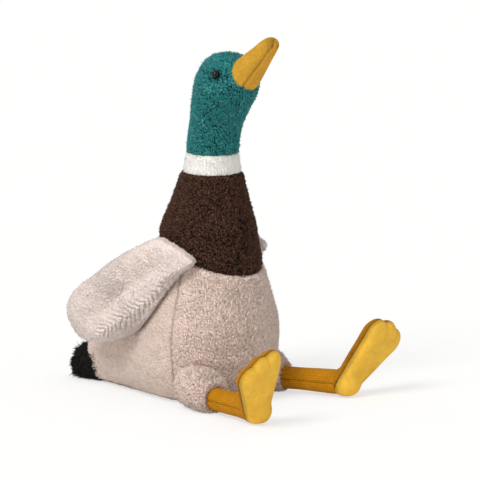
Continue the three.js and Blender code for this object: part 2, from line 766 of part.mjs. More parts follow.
// Wings: flat stuffed flaps, an outer and an inner panel each, sewn on along the
// shoulder. The group's Y axis is the shoulder seam.
for (const [side_name, side] of sides) {
  const wing_group = new THREE.Group();
  wing_group.position.copy(place(wing_root_forward, side * wing_root_side, wing_root_height));
  wing_group.rotation.order = 'ZXY';
  wing_group.rotation.set(wing_rise, 0, -side * wing_heading);
  duck.add(wing_group);
  duck.updateMatrixWorld(true);

  const wing = (inset, count, shares) => {
    const outline = new THREE.CatmullRomCurve3(
      wing_outline_shares.map(([back, rise]) => new THREE.Vector3(0, back * wing_sweep, rise * wing_drop)),
      true,
    ).getSpacedPoints(count).slice(0, count);
    const centre = new THREE.Vector3(0, wing_centre_shares[0] * wing_sweep, wing_centre_shares[1] * wing_drop);
    const rings = shares.map(({ out, size }) => outline.map((point) => {
      const arm = point.clone().sub(centre);
      arm.setLength(arm.length() * size - inset);
      const spot = centre.clone().add(arm);
      spot.x = side * out * (wing_half_thickness - inset);
      return spot;
    }));
    return toSolid(loft(rings).applyMatrix4(wing_group.matrixWorld));
  };

  const wingLining = (inset) => wing(inset, wing_lining_facets, everyOther(puff_shares));

  const wing_form = wing(0, wing_facets, puff_shares).subtract(trunk_clear);
  const wing_cloth = wing_form.subtract(wingLining(plush_cloth));
  const wing_out = place(0, side, 0).transformDirection(wing_group.matrixWorld);
  const wing_root = new THREE.Vector3().setFromMatrixPosition(wing_group.matrixWorld);
  const beyond_edge = blockBeyond(wing_root, wing_out, block_reach);
  const inside_edge = blockBeyond(
    wing_root.clone().addScaledVector(wing_out, -seam_gap),
    wing_out.clone().negate(),
    block_reach,
  );
  addPiece(wing_group, `wing_outer_${side_name}`, wing_cloth.intersect(beyond_edge), materials.wing);
  addPiece(wing_group, `wing_inner_${side_name}`, wing_cloth.intersect(inside_edge), materials.wing);
  const wing_core = wing_form.intersect(wingLining(plush_cloth + seam_gap));
  addPiece(wing_group, `wing_filling_${side_name}`, wing_core, materials.filling);
}

function arcPoints(centre, radius, from, to, steps) {
  const points = [];
  for (let i = 0; i <= steps; i++) {
    const turn = from + (to - from) * i / steps;
    points.push(new THREE.Vector2(centre.x + radius * Math.cos(turn), centre.y + radius * Math.sin(turn)));
  }
  return points;
}

// The foot's outline from heel to toes: a round heel, straight sides and three toes.
// The web has a notch where the round ends of two toes meet.
function footOutline() {
  const side_tilt = toe_spread + Math.asin((toe_radius - heel_edge_radius) / side_toe_reach);
  const heel = new THREE.Vector2(0, 0);
  const middle_toe = new THREE.Vector2(0, middle_toe_reach);
  const side_toe = (side) => new THREE.Vector2(
    side * side_toe_reach * Math.sin(toe_spread),
    side_toe_reach * Math.cos(toe_spread),
  );
  const apart = side_toe(1).sub(middle_toe);
  const notch_lift = Math.sqrt(toe_radius ** 2 - (apart.length() / 2) ** 2);
  const notch = middle_toe.clone().addScaledVector(apart, 0.5);
  notch.add(new THREE.Vector2(-apart.y, apart.x).setLength(notch_lift));
  const middle_turn = notch.clone().sub(middle_toe).angle();
  const side_turn = notch.clone().sub(side_toe(1)).angle();
  const middle_arc = arcPoints(middle_toe, toe_radius, middle_turn, Math.PI - middle_turn, toe_facets);
  return [
    ...arcPoints(heel, heel_edge_radius, Math.PI + side_tilt, 2 * Math.PI - side_tilt, heel_edge_facets),
    ...arcPoints(side_toe(1), toe_radius, -side_tilt, side_turn, toe_facets),
    ...middle_arc.slice(1, -1),
    ...arcPoints(side_toe(-1), toe_radius, Math.PI - side_turn, Math.PI + side_tilt, toe_facets),
  ];
}

function footSolid(leg, inset, ball_facets, shares) {
  const outline = footOutline();
  const centre = new THREE.Vector2(0, foot_centre_reach);
  const rings = shares.map(({ out, size }) => outline.map((point) => {
    const arm = point.clone().sub(centre);
    arm.setLength(arm.length() * size - inset);
    return new THREE.Vector3(arm.x, -out * (foot_half_thickness - inset), centre.y + arm.y);
  }));
  const plate = toSolid(loft(rings).applyMatrix4(leg.foot_group.matrixWorld));
  return plate.add(toSolid(ball(leg.ankle, heel_ball_radius - inset, leg.ankle_axis, ball_facets)));
}

function footLining(leg, inset) {
  return footSolid(leg, inset, ball_lining_facets, everyOther(puff_shares));
}

// The hollow that a shin leaves for its foot, over the whole bend of the ankle
function ankleHollow(leg) {
  const cup = toSolid(ball(leg.ankle, cupRadius(heel_ball_radius, heel_facets), leg.ankle_axis, heel_facets));
  const bends = [-ankle_bend_max, 0, ankle_bend_max];
  return cup.add(sweptSpace(leg.foot_group, bends, () => footSolid(leg, -2 * joint_gap, heel_facets, puff_shares)));
}

// Legs: a plush thigh, a ribbed shin sewn into its hem, and a webbed foot
for (const leg of legs) {
  const shin_start = thigh_length - shin_tuck;
  const shin_clear = legSolid(leg, limb(shinRings(shin_start - seam_gap, leg_length), -seam_gap, limb_facets));
  const thigh_outer = thighSolid(leg, thighRings(0, thigh_shares), 0, limb_facets, hip_facets);
  const thigh_form = thigh_outer.intersect(above_floor).subtract(shin_clear);
  const thigh_cloth = thigh_form.subtract(thighLining(leg, plush_cloth, seam_gap));
  const thigh_core = thigh_form.intersect(thighLining(leg, plush_cloth + seam_gap, 0));
  addPiece(leg.leg_group, `thigh_cover_${leg.side_name}`, thigh_cloth, materials.belly);
  addPiece(leg.leg_group, `thigh_filling_${leg.side_name}`, thigh_core, materials.filling);

  const foot_space = ankleHollow(leg);
  const shin_form = legSolid(leg, limb(shinRings(shin_start, leg_length), 0, limb_facets)).subtract(foot_space);
  const lining_rings = shinRings(shin_start - cut_overrun, leg_length);
  const lining = legSolid(leg, limb(lining_rings, rib_cloth, limb_lining_facets));
  const stuffing_rings = shinRings(shin_start, leg_length);
  const stuffing = legSolid(leg, limb(stuffing_rings, rib_cloth + seam_gap, limb_lining_facets));
  addPiece(leg.leg_group, `shin_cover_${leg.side_name}`, shin_form.subtract(lining), materials.rib);
  addPiece(leg.leg_group, `shin_filling_${leg.side_name}`, stuffing.subtract(foot_space), materials.filling);

  const foot_form = footSolid(leg, 0, heel_facets, puff_shares).intersect(above_floor);
  const foot_cloth = foot_form.subtract(footLining(leg, rib_cloth));
  const toe_front = place(1, 0, 0).transformDirection(leg.foot_group.matrixWorld);
  const before_edge = blockBeyond(
    leg.ankle.clone().addScaledVector(toe_front, seam_gap / 2),
    toe_front,
    block_reach,
  );
  const behind_edge = blockBeyond(
    leg.ankle.clone().addScaledVector(toe_front, -seam_gap / 2),
    toe_front.clone().negate(),
    block_reach,
  );
  addPiece(leg.foot_group, `foot_sole_${leg.side_name}`, foot_cloth.intersect(before_edge), materials.sole);
  addPiece(leg.foot_group, `foot_top_${leg.side_name}`, foot_cloth.intersect(behind_edge), materials.rib);
  const foot_core = foot_form.intersect(footLining(leg, rib_cloth + seam_gap));
  addPiece(leg.foot_group, `foot_filling_${leg.side_name}`, foot_core, materials.filling);
}

export default duck;
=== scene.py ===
import functools
import math

import bmesh
import bpy
import numpy as np
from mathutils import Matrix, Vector


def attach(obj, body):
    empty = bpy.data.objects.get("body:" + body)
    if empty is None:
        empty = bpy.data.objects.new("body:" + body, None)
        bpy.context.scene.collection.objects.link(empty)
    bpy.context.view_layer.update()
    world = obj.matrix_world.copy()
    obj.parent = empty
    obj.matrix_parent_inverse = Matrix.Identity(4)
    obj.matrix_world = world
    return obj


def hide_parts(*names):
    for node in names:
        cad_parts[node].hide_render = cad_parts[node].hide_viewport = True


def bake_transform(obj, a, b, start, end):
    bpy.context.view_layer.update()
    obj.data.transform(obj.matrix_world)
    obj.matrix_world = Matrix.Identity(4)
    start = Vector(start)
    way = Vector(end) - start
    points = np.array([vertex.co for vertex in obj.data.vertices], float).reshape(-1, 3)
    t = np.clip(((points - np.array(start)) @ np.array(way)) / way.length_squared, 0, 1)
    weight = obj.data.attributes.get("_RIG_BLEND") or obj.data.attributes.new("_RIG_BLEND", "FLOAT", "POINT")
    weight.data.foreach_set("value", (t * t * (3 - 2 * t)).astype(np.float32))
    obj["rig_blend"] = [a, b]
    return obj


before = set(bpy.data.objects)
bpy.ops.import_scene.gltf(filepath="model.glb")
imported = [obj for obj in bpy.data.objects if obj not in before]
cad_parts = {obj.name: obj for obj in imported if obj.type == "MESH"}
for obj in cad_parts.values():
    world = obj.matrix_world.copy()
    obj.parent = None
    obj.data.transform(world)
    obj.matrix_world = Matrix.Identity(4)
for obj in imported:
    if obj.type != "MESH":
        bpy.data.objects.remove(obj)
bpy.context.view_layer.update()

# The camera stands low in front of the duck's right side and looks slightly down
# through a long lens, so that near and far parts keep their sizes.
mm = 0.001
view_azimuth = math.radians(-51.5)
view_elevation = math.radians(10.4)
view_width = 367 * mm
lens_length = 900
film_width = 36
level = math.cos(view_elevation)
towards_camera = Vector((
    math.sin(view_azimuth) * level,
    -math.cos(view_azimuth) * level,
    math.sin(view_elevation),
))
rightward = Vector((math.cos(view_azimuth), math.sin(view_azimuth), 0))
upward = towards_camera.cross(rightward)
aim_right, aim_up = 19.1 * mm, 119.8 * mm
aim = rightward * aim_right + upward * aim_up
camera_data = bpy.data.cameras.new("camera")
camera_data.lens = lens_length
camera_data.sensor_width = film_width
camera_data.clip_start, camera_data.clip_end = 0.1, 60
camera = bpy.data.objects.new("camera", camera_data)
camera.location = aim + towards_camera * (view_width * lens_length / film_width)
camera.rotation_euler = (-towards_camera).to_track_quat("-Z", "Y").to_euler()
bpy.context.collection.objects.link(camera)
bpy.context.scene.camera = camera
bpy.context.scene.view_settings.view_transform = "Standard"


# The studio is a wide sheet of white paper under one soft lamp from above the camera's
# left, with a pale room all round. For the camera the paper is nearly white by itself,
# and it still takes the duck's soft shadow.
def linear(colour):
    """A colour written as sRGB hex, as the linear RGBA that a shader reads."""
    parts = [int(colour[i:i + 2], 16) / 255 for i in (1, 3, 5)]
    return (*(c / 12.92 if c <= 0.04045 else ((c + 0.055) / 1.055) ** 2.4 for c in parts), 1)


def add_node(tree, kind, **settings):
    """Adds a node. A setting is a field of the node, or a socket, by its name or by its
    number after an i, and a socket takes a constant, an output, or a node's first output."""
    node = tree.nodes.new("ShaderNode" + kind)
    for name, value in settings.items():
        if hasattr(node, name):
            setattr(node, name, value)
            continue
        socket = node.inputs[int(name[1:]) if name[1:].isdigit() else name.replace("_", " ")]
        if isinstance(value, bpy.types.Node):
            value = value.outputs[0]
        if isinstance(value, bpy.types.NodeSocket):
            tree.links.new(value, socket)
        else:
            socket.default_value = value
    return node


def new_material(name):
    """An empty material, and the function that adds a node to it."""
    material = bpy.data.materials.new(name)
    material.use_nodes = True
    material.node_tree.nodes.clear()
    return material, functools.partial(add_node, material.node_tree)


# Matt white paper. The camera, and what is glossy, see it lit up a little by itself.
paper_glow_share = 0.6
paper_glow_strength = 1.04
floor_reach = 14
paper, add = new_material("white_studio_paper")
matt = add("BsdfDiffuse", Color=linear("#f6f6f5"))
glow = add("Emission", Color=linear("#ffffff"), Strength=paper_glow_strength)
ray = add("LightPath")
seen = ray.outputs["Is Camera Ray"]
for other in ("Is Glossy Ray", "Is Transmission Ray"):
    seen = add("Math", operation="ADD", use_clamp=True, i0=seen, i1=ray.outputs[other])
share = add("Math", operation="MULTIPLY", i0=seen, i1=paper_glow_share)
add("OutputMaterial", Surface=add("MixShader", i0=share, i1=matt, i2=glow))
floor_sheet = bmesh.new()
bmesh.ops.create_grid(floor_sheet, x_segments=2, y_segments=2, size=floor_reach)
floor_mesh = bpy.data.meshes.new("studio_floor")
floor_sheet.to_mesh(floor_mesh)
floor_mesh.materials.append(paper)
floor = bpy.data.objects.new("studio_floor", floor_mesh)
bpy.context.collection.objects.link(floor)

pale_room = bpy.data.worlds.new("pale_room")
bpy.context.scene.world = pale_room
pale_room.use_nodes = True
walls = pale_room.node_tree.nodes["Background"]
walls.inputs["Color"].default_value = linear("#fbfaf8")
walls.inputs["Strength"].default_value = 0.68
lamp_data = bpy.data.lights.new("soft_lamp", "SUN")
lamp_data.energy = 1.75
lamp_data.angle = math.radians(24)
lamp = bpy.data.objects.new("soft_lamp", lamp_data)
lamp_from = rightward * -0.5 + towards_camera * 0.7 + Vector((0, 0, 0.68))
lamp.rotation_euler = lamp_from.to_track_quat("Z", "Y").to_euler()
bpy.context.collection.objects.link(lamp)

# The belly panel is one piece of short taupe plush, cut round and sewn to the side
# panels and the chest. It is stuffed tight, so it bulges between seams that pull in.
trunk_height = 176 * mm
belly_radius = 54 * mm
rump_stretch = 72 * mm
trunk_lean = 8.4 * mm
seam_front = (36 * mm, 99 * mm)
seam_back = (-48 * mm, 130 * mm)
floor_edge = 2.2 * mm
cloth_thickness = 1.6 * mm
seam_shade = 0.9 * mm
weld = 0.004 * mm
# height, front radius, stretch, rump radius and lean, as shares
trunk_shares = np.array([
    (-0.003, 0.6, 0.95, 0.18, 1), (0.018, 0.71, 0.95, 0.26, 1), (0.057, 0.825, 0.93, 0.3, 1),
    (0.114, 0.925, 0.88, 0.3, 1), (0.17, 0.972, 0.81, 0.28, 1), (0.233, 0.996, 0.65, 0.32, 1),
    (0.295, 1, 0.49, 0.38, 1), (0.352, 0.985, 0.365, 0.45, 0.98), (0.42, 0.935, 0.255, 0.56, 0.95),
    (0.511, 0.848, 0.14, 0.76, 0.89), (0.591, 0.77, 0.05, 0.9, 0.83),
    (0.67, 0.713, 0.014, 0.94, 0.8), (0.756, 0.657, 0.01, 0.94, 0.75),
    (0.864, 0.541, 0.008, 0.94, 0.55), (0.938, 0.466, 0.008, 0.94, 0.38),
    (1.02, 0.4, 0.008, 0.94, 0.24),
])


def through(stations, values, at):
    """A smooth curve through rows of values at rising stations, read at other places."""
    at = np.clip(at, stations[0], stations[-1])
    runs = np.diff(stations)[:, None]
    slopes = np.diff(values, axis=0) / runs
    middles = (slopes[1:] * runs[:-1] + slopes[:-1] * runs[1:]) / (runs[1:] + runs[:-1])
    tangents = np.concatenate([slopes[:1], middles, slopes[-1:]])
    spot = np.clip(np.searchsorted(stations, at, side="right") - 1, 0, len(runs) - 1)
    run = runs[spot, 0][..., None]
    t = (at - stations[spot])[..., None] / run
    start, end = values[spot], values[spot + 1]
    lift = tangents[spot] * run * (t ** 3 - 2 * t ** 2 + t)
    lift = lift + tangents[spot + 1] * run * (t ** 3 - t ** 2)
    return start * (2 * t ** 3 - 3 * t ** 2 + 1) + end * (3 * t ** 2 - 2 * t ** 3) + lift


def place(forward, left, height):
    """Points from how far forward, left and up they are. The duck faces against Y."""
    return np.stack(np.broadcast_arrays(left, -forward, height), axis=-1)


def trunk_level(height):
    """The front circle, the rump circle behind it, and where their shared flank starts."""
    share = through(trunk_shares[:, 0], trunk_shares[:, 1:], height / trunk_height)
    front = share[..., 0] * belly_radius
    rump = front * share[..., 2]
    back = share[..., 3] * trunk_lean
    apart = front - rump + share[..., 1] * rump_stretch
    meet = np.pi - np.arccos(np.clip((front - rump) / apart, -1, 1))
    flank = np.sqrt(apart ** 2 - (front - rump) ** 2)
    return front, rump, back, apart, meet, flank


def trunk_place(reach, height, side):
    """The place that lies a given reach of cloth round from the front middle."""
    front, rump, back, apart, meet, flank = trunk_level(height)
    first = front * meet
    turn = np.minimum(reach / front, meet)
    along = np.clip(reach - first, 0, flank)
    rear = meet + np.maximum(reach - first - flank, 0) / rump
    behind = reach > first + flank
    forward = np.where(behind, rump * np.cos(rear) - apart,
                       front * np.cos(turn) - along * np.sin(meet))
    left = np.where(behind, rump * np.sin(rear), front * np.sin(turn) + along * np.cos(meet))
    return place(forward - back, side * left, height)


def trunk_reach(forward, height):
    """How far round from the front middle the trunk is that far forward."""
    front, rump, back, apart, meet, flank = trunk_level(height)
    ahead = forward + back
    turn = np.arccos(np.clip(ahead / front, -1, 1))
    rear = np.arccos(np.clip((ahead + apart) / rump, -1, 1))
    along = (front * np.cos(meet) - ahead) / np.sin(meet)
    reach = np.where(along > flank, flank + rump * (rear - meet), along)
    return np.where(turn < meet, front * turn, front * meet + reach)


def neck_seam_height(forward):
    """The chest seam slants up from the front to the back."""
    fall = (seam_back[1] - seam_front[1]) / (seam_front[0] - seam_back[0])
    return seam_front[1] + (seam_front[0] - forward) * fall


def seam_top(reach_at):
    """The height of the chest seam over each column of cloth, found step by step."""
    first_guess = 115 * mm
    height = np.full_like(reach_at(first_guess), first_guess)
    for _ in range(16):
        height = neck_seam_height(-trunk_place(reach_at(height), height, 1)[..., 1])
    return height


def run_along(up, out):
    """How far along its line each point lies, from the steps up and out between points."""
    return np.concatenate([[0], np.cumsum(np.hypot(up, out))])


def even_heights(low, high, count):
    """Shares of the way up that are evenly spaced over the trunk's front line."""
    fine_steps = 400
    heights = np.linspace(low, high, fine_steps)
    run = run_along(np.diff(heights), np.diff(trunk_level(heights)[0]))
    return (np.interp(np.linspace(0, run[-1], count), run, heights) - low) / (high - low)


def outward(sheet):
    """The unit normal at every point of a sheet of cloth, also where it gathers to a pole."""
    pole_size = 0.1 * mm
    across, along = np.gradient(sheet, axis=1), np.gradient(sheet, axis=0)
    normal = np.cross(across, along)
    normal /= np.maximum(np.linalg.norm(normal, axis=2, keepdims=True), 1e-12)
    for pole, beside in ((0, 1), (-1, -2)):
        if np.ptp(sheet[pole], axis=0).max() < pole_size:
            mean = normal[beside].mean(axis=0)
            normal[pole] = mean / np.linalg.norm(mean)
    return normal


def moved_out(sheet, distance):
    """Moves the cloth out along its normals, or in where the distance is below nothing."""
    return sheet + outward(sheet) * distance[..., None]


def facing_out(sheet, middle):
    """Turns a sheet over if its faces look towards the middle of the stuffing."""
    if np.sum(outward(sheet) * (sheet - middle)) < 0:
        return sheet[:, ::-1]
    return sheet


def seam_distances(sheet):
    """How far every point is from each of the sheet's four edges, along the cloth."""
    distances = {}
    for first, last, axis in (("start", "end", 1), ("bottom", "top", 0)):
        steps = np.linalg.norm(np.diff(sheet, axis=axis), axis=2)
        run = np.insert(np.cumsum(steps, axis=axis), 0, 0, axis=axis)
        distances[first] = run
        distances[last] = run.max(axis=axis, keepdims=True) - run
    return distances


def sewn(sheet, seams, depth=1.5 * mm, width=2.3 * mm):
    """Draws the cloth in along its seams, and returns it with how close each point is."""
    nearest = np.full(sheet.shape[:2], 1.0)
    distances = seam_distances(sheet)
    for seam in seams:
        nearest = np.minimum(nearest, distances[seam])
    pull = depth * np.exp(-(nearest / width) ** 2)
    # The closeness also darkens the colour with painted seam shade.
    return moved_out(sheet, -pull), np.exp(-(nearest / seam_shade) ** 2)


def soft_waves(seed, count, low, high):
    """Ways for waves to run, a size between low and high for each, and their phases."""
    draws = np.random.default_rng(seed)
    ways = draws.normal(size=(*count, 3))
    ways /= np.linalg.norm(ways, axis=-1, keepdims=True)
    return ways, draws.uniform(low, high, (*count, 1)), draws.uniform(0, 2 * np.pi, count)


# Nine waves of 24 to 60 mm stand for the lumps in the stuffing.
ways, lengths, lump_phases = soft_waves(11, (9,), 24 * mm, 60 * mm)
lump_waves = ways * (2 * np.pi / lengths)


def lumpy(places, scale=1.0):
    """The soft rise and fall of stuffing under cloth, from -1 to 1 or so."""
    return np.sin(places @ lump_waves.T * scale + lump_phases).sum(axis=-1) / 4


def stuffed(sheet, height=0.6 * mm):
    """Lets the lumps of the stuffing show in the cloth."""
    return moved_out(sheet, height * lumpy(sheet))


def off_floor(sheet, gap=1.3 * mm, soft=1.0 * mm):
    """Lets the cloth flatten on the floor instead of going through it."""
    well_clear = 20
    rise = (sheet[..., 2] - gap) / soft
    eased = np.log1p(np.exp(np.minimum(rise, well_clear)))
    sheet = sheet.copy()
    sheet[..., 2] = gap + soft * np.where(rise > well_clear, rise, eased)
    return sheet


def cloth_object(sheet, closeness, thickness=cloth_thickness):
    """A bmesh of the sheet with its thickness behind it, and the faces on its outside.
    Its points know how close to a seam they are, and where they lie on the flat cloth."""
    rows, columns = sheet.shape[:2]
    cloth = bmesh.new()
    bmesh.ops.create_grid(cloth, x_segments=columns - 1, y_segments=rows - 1, size=1)
    seam_layer = cloth.verts.layers.float.new("seam")
    cloth_layer = cloth.verts.layers.float_vector.new("cloth_place")
    distances = seam_distances(sheet)
    laid = np.stack([distances["start"], distances["bottom"], np.zeros((rows, columns))], axis=-1)
    for point, spot, close, flat in zip(
        cloth.verts, sheet.reshape(-1, 3), closeness.ravel(), laid.reshape(-1, 3)
    ):
        point.co = spot
        point[seam_layer] = close
        point[cloth_layer] = flat
    bmesh.ops.remove_doubles(cloth, verts=cloth.verts, dist=weld)
    outside = list(cloth.faces)
    face_points = list(cloth.verts)
    cloth.normal_update()
    normals = [v.normal.copy() for v in face_points]
    bmesh.ops.solidify(cloth, geom=outside, thickness=thickness)
    cloth.verts.ensure_lookup_table()
    back_points = cloth.verts[len(face_points):]
    # at a gathered corner the offset overshoots, so it is held to the cloth's thickness
    for point, back, normal in zip(face_points, back_points, normals):
        if (back.co - point.co).length > 1.5 * thickness:
            back.co = point.co - normal * thickness
    return cloth, outside


def finish_piece(name, cloth, material):
    """Makes a smooth object of a bmesh, in its one material."""
    mesh = bpy.data.meshes.new(name)
    cloth.normal_update()
    cloth.to_mesh(mesh)
    cloth.free()
    mesh.materials.append(material)
    mesh.polygons.foreach_set("use_smooth", np.ones(len(mesh.polygons), bool))
    piece = bpy.data.objects.new(name, mesh)
    bpy.context.collection.objects.link(piece)
    return piece


# Sixty-four waves, about one to a clump's size, part the pile into clumps.
ways, shares, clump_phases = soft_waves(7, (64,), 0.75, 1.3)
clump_waves = ways * (2 * np.pi * shares)


def clumped(spots, nap, clump):
    """How full the pile is at each place, about -1 to 1: brushed pile parts into clumps
    that are longer along the nap than they are wide."""
    width, length = clump
    nap = nap / np.linalg.norm(nap, axis=1, keepdims=True)
    along = np.sum(spots * nap, axis=1, keepdims=True)
    stretched = spots / width + nap * along * (1 / length - 1 / width)
    return np.sin(stretched @ clump_waves.T + clump_phases).sum(axis=1) / 6


root_wander = 0.15 * mm
nap_swirl = 0.55
pressed_pile = 0.05
floor_clearance = 0.25 * mm


def placed(points):
    """Where points of a mesh are, and their normals."""
    return np.array([v.co for v in points]), np.array([v.normal for v in points])


def plush_piece(name, sheet, closeness, material, nap, length, lean=0.55, seed=1,
                clump=(1.4 * mm, 2.0 * mm), parting=0.3 * mm):
    """A panel of plush: every square of the cloth carries one tuft of pile, which leans
    with the nap, and the tufts stand higher in the middle of a clump than between two.
    The roots stay put at a seam, and cloth that is pressed inside the body lies flat."""
    cloth, outside = cloth_object(sheet, closeness)
    draws = np.random.default_rng(seed)
    pile_layer = cloth.verts.layers.float.new("pile")
    tuft_layer = cloth.verts.layers.float.new("tuft")
    seam_layer = cloth.verts.layers.float["seam"]
    cloth.normal_update()
    cloth.verts.index_update()
    roots = sorted({v for face in outside for v in face.verts}, key=lambda v: v.index)
    spots, normals = placed(roots)
    free = 1 - np.clip([v[seam_layer] for v in roots], 0, 1)[:, None]
    fullness = clumped(spots, nap(spots), clump)
    spots = spots + normals * free * (parting * fullness)[:, None]
    wander = free * draws.normal(0, root_wander, spots.shape)
    spots = spots + wander - normals * np.sum(wander * normals, axis=1, keepdims=True)
    # The pile value, low at a root and between clumps, sets where the material paints shade, and the tuft
    # value picks the strands that get a painted highlight.
    for root, spot, full in zip(roots, spots, fullness):
        root.co = spot
        root[pile_layer] = 0.5 + 0.5 * full
        root[tuft_layer] = draws.uniform()
    pressed = np.array([[min(v[seam_layer] for v in face.verts) > 0.99] for face in outside])
    tips = bmesh.ops.poke(cloth, faces=outside)["verts"]
    cloth.normal_update()
    spots, normals = placed(tips)
    count = len(tips)
    fullness = clumped(spots, nap(spots), clump)
    along = nap(spots) + nap_swirl * swirl(spots)
    along -= normals * np.sum(along * normals, axis=1, keepdims=True)
    along /= np.maximum(np.linalg.norm(along, axis=1, keepdims=True), 1e-9)
    aside = np.cross(normals, along)
    size = length * draws.uniform(0.75, 1.15, (count, 1)) * (0.62 + 0.3 * fullness[:, None])
    size = np.maximum(size, 0.1 * length)
    tilt = lean * draws.uniform(0.5, 1.4, (count, 1))
    sway = draws.normal(0, 0.3, (count, 1))
    steady = np.sqrt(1 / (1 + tilt ** 2 + sway ** 2))
    way = normals + along * tilt + aside * sway
    spots = spots + way * size * steady * (1 - (1 - pressed_pile) * pressed)
    spots[:, 2] = np.maximum(spots[:, 2], floor_clearance)
    for tip, spot, full, shade in zip(tips, spots, fullness, draws.uniform(0, 1, count)):
        tip.co = spot
        tip[pile_layer] = 0.75 + 0.5 * full
        tip[tuft_layer] = shade
    return finish_piece(name, cloth, material)


ways, lengths, swirl_phases = soft_waves(5, (3, 10), 5 * mm, 16 * mm)
swirl_waves = ways * (2 * np.pi / lengths)


def swirl(spots):
    """How brushed pile wanders from its nap over a few millimetres."""
    waves = [np.sin(spots @ swirl_waves[k].T + swirl_phases[k]).sum(axis=1) for k in range(3)]
    return np.stack(waves, axis=1) / 3


# drawn about ten times as thick as a real strand, so that it shows
strand_width = 1.1 * mm


def plush_material(name, root, tip, glint, sheen=0.3, patch=9 * mm, patch_depth=0.16, parted=0.1):
    """Polyester plush, knitted with a cut pile and brushed: dull, with painted shade at the roots
    of the pile, between its clumps and along its seams, and painted highlights on single strands."""
    material, add = new_material(name)
    pile, tuft, seam = (add("Attribute", attribute_name=name).outputs["Fac"]
                        for name in ("pile", "tuft", "seam"))
    where = add("TexCoord").outputs["Object"]
    patches = add("TexNoise", Vector=where, Scale=1 / patch, Detail=3.0, Roughness=0.6)
    strands = add("TexNoise", Vector=where, Scale=1 / strand_width, Detail=2.0, Roughness=0.6)
    # Painted shade: the root colour fills the roots of the pile and the gaps between clumps, and the tip
    # colour the tops, with strands of random tone between.
    depth = add("MapRange", Value=pile, From_Min=parted, From_Max=parted + 0.75)
    depth = add("Math", operation="MULTIPLY_ADD", use_clamp=True, i0=strands, i1=0.5, i2=depth)
    depth = add("Math", operation="SUBTRACT", use_clamp=True, i0=depth, i1=0.25)
    mixed = add("Mix", data_type="RGBA", i0=depth, i6=linear(root), i7=linear(tip))
    # Painted highlight: the tips of a few random tufts are mixed towards the glint colour.
    bright = add("MapRange", Value=tuft, From_Min=0.65, From_Max=1.0, To_Max=0.7)
    caught = add("Math", operation="MULTIPLY", i0=bright, i1=depth)
    glinted = add("Mix", data_type="RGBA", i0=caught, i6=mixed.outputs[2], i7=linear(glint))
    shade = add("Math", operation="MULTIPLY_ADD", i0=patches, i1=2 * patch_depth,
                i2=1 - patch_depth)
    # Painted shade: darker along the seams, in the hollow round each eye, in the grooves between the wing's
    # barbs and on the neck's tucked cloth.
    painted_seam_shade = add("Math", operation="MULTIPLY_ADD", i0=seam, i1=-0.4, i2=1.0)
    total = add("Math", operation="MULTIPLY", i0=shade, i1=painted_seam_shade)
    tone = add("VectorMath", operation="SCALE", i0=glinted.outputs[2], Scale=total)
    shader = add("BsdfPrincipled", Base_Color=tone, Roughness=0.95, Specular_IOR_Level=0.15,
                 Sheen_Weight=sheen, Sheen_Roughness=0.45, Sheen_Tint=linear(glint))
    add("OutputMaterial", Surface=shader)
    return material


def combed(*way):
    """Pile that is brushed one way everywhere."""
    return lambda spots: np.tile(way, (len(spots), 1))


def declare(piece, slot, *replaced, fill=0.7):
    """Hides the CAD parts that a padded piece stands for. The fill, how firmly it is stuffed, is not used.
    """
    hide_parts(*replaced)


combed_down = combed(0.0, 0.25, -1.0)
taupe_plush = plush_material("taupe_brushed_plush", root="#b8998d", tip="#fee9dd", glint="#fff6ef")


def cloth_heights(reach_at, rows):
    """The heights of rows of cloth from the floor edge to the chest seam, where reach_at
    gives how far round the trunk each column lies at a height."""
    usual_top = 112 * mm
    rise = even_heights(floor_edge, usual_top, rows)[:, None]
    return floor_edge + (seam_top(reach_at)[None, :] - floor_edge) * rise


belly_columns, belly_rows = 214, 152
belly_turn = np.linspace(-1, 1, belly_columns)
belly_share = np.abs(belly_turn)
height = cloth_heights(lambda h: belly_share * trunk_reach(0, h), belly_rows)
sheet = trunk_place(belly_share * trunk_reach(0, height), height, np.sign(belly_turn))
sheet = stuffed(facing_out(sheet, (0, 0, 50 * mm)))
sheet, close = sewn(sheet, ("start", "end", "top", "bottom"))
belly = plush_piece("belly_plush", off_floor(sheet), close, taupe_plush, combed_down, 2.1 * mm,
                    seed=21)
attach(belly, "body")
declare(belly, "belly", "belly_panel")

# The two side panels of the same plush run from the belly round to the back, where they
# are sewn to each other above the tail. Their pile is brushed flatter, towards the tail.
tail_seam_foot = (-107 * mm, 0)
tail_seam_head = (-120 * mm, 29 * mm)


def tail_seam_forward(height):
    fall = (tail_seam_head[0] - tail_seam_foot[0]) / tail_seam_head[1]
    return tail_seam_foot[0] + height * fall


def side_reach(share, height):
    start = trunk_reach(0, height)
    end = trunk_reach(tail_seam_forward(height), height)
    return start + share * (end - start)


combed_back = combed(0.0, 1.0, -0.6)
side_plush = plush_material("taupe_flat_plush", root="#b99f92", tip="#efd9cc", glint="#fff6f0",
                            patch=14 * mm, patch_depth=0.1, parted=-0.3)
side_columns, side_rows = 150, 152
side_share = np.linspace(0, 1, side_columns)
height = cloth_heights(lambda h: side_reach(side_share, h), side_rows)
flank_sheet = trunk_place(side_reach(side_share, height), height, 1)
sides = (("right", -1), ("left", 1))
for side_name, side in sides:
    sheet = facing_out(flank_sheet * (side, 1, 1), (side * 10 * mm, 30 * mm, 50 * mm))
    sheet, close = sewn(stuffed(sheet), ("start", "end", "top", "bottom"))
    panel = plush_piece(f"side_plush_{side_name}", off_floor(sheet), close, side_plush, combed_back,
                        1.3 * mm, lean=1.1, seed=22 + side, clump=(1.5 * mm, 3.2 * mm),
                        parting=0.1 * mm)
    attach(panel, "body")
    declare(panel, "belly", f"side_panel_{side_name}")


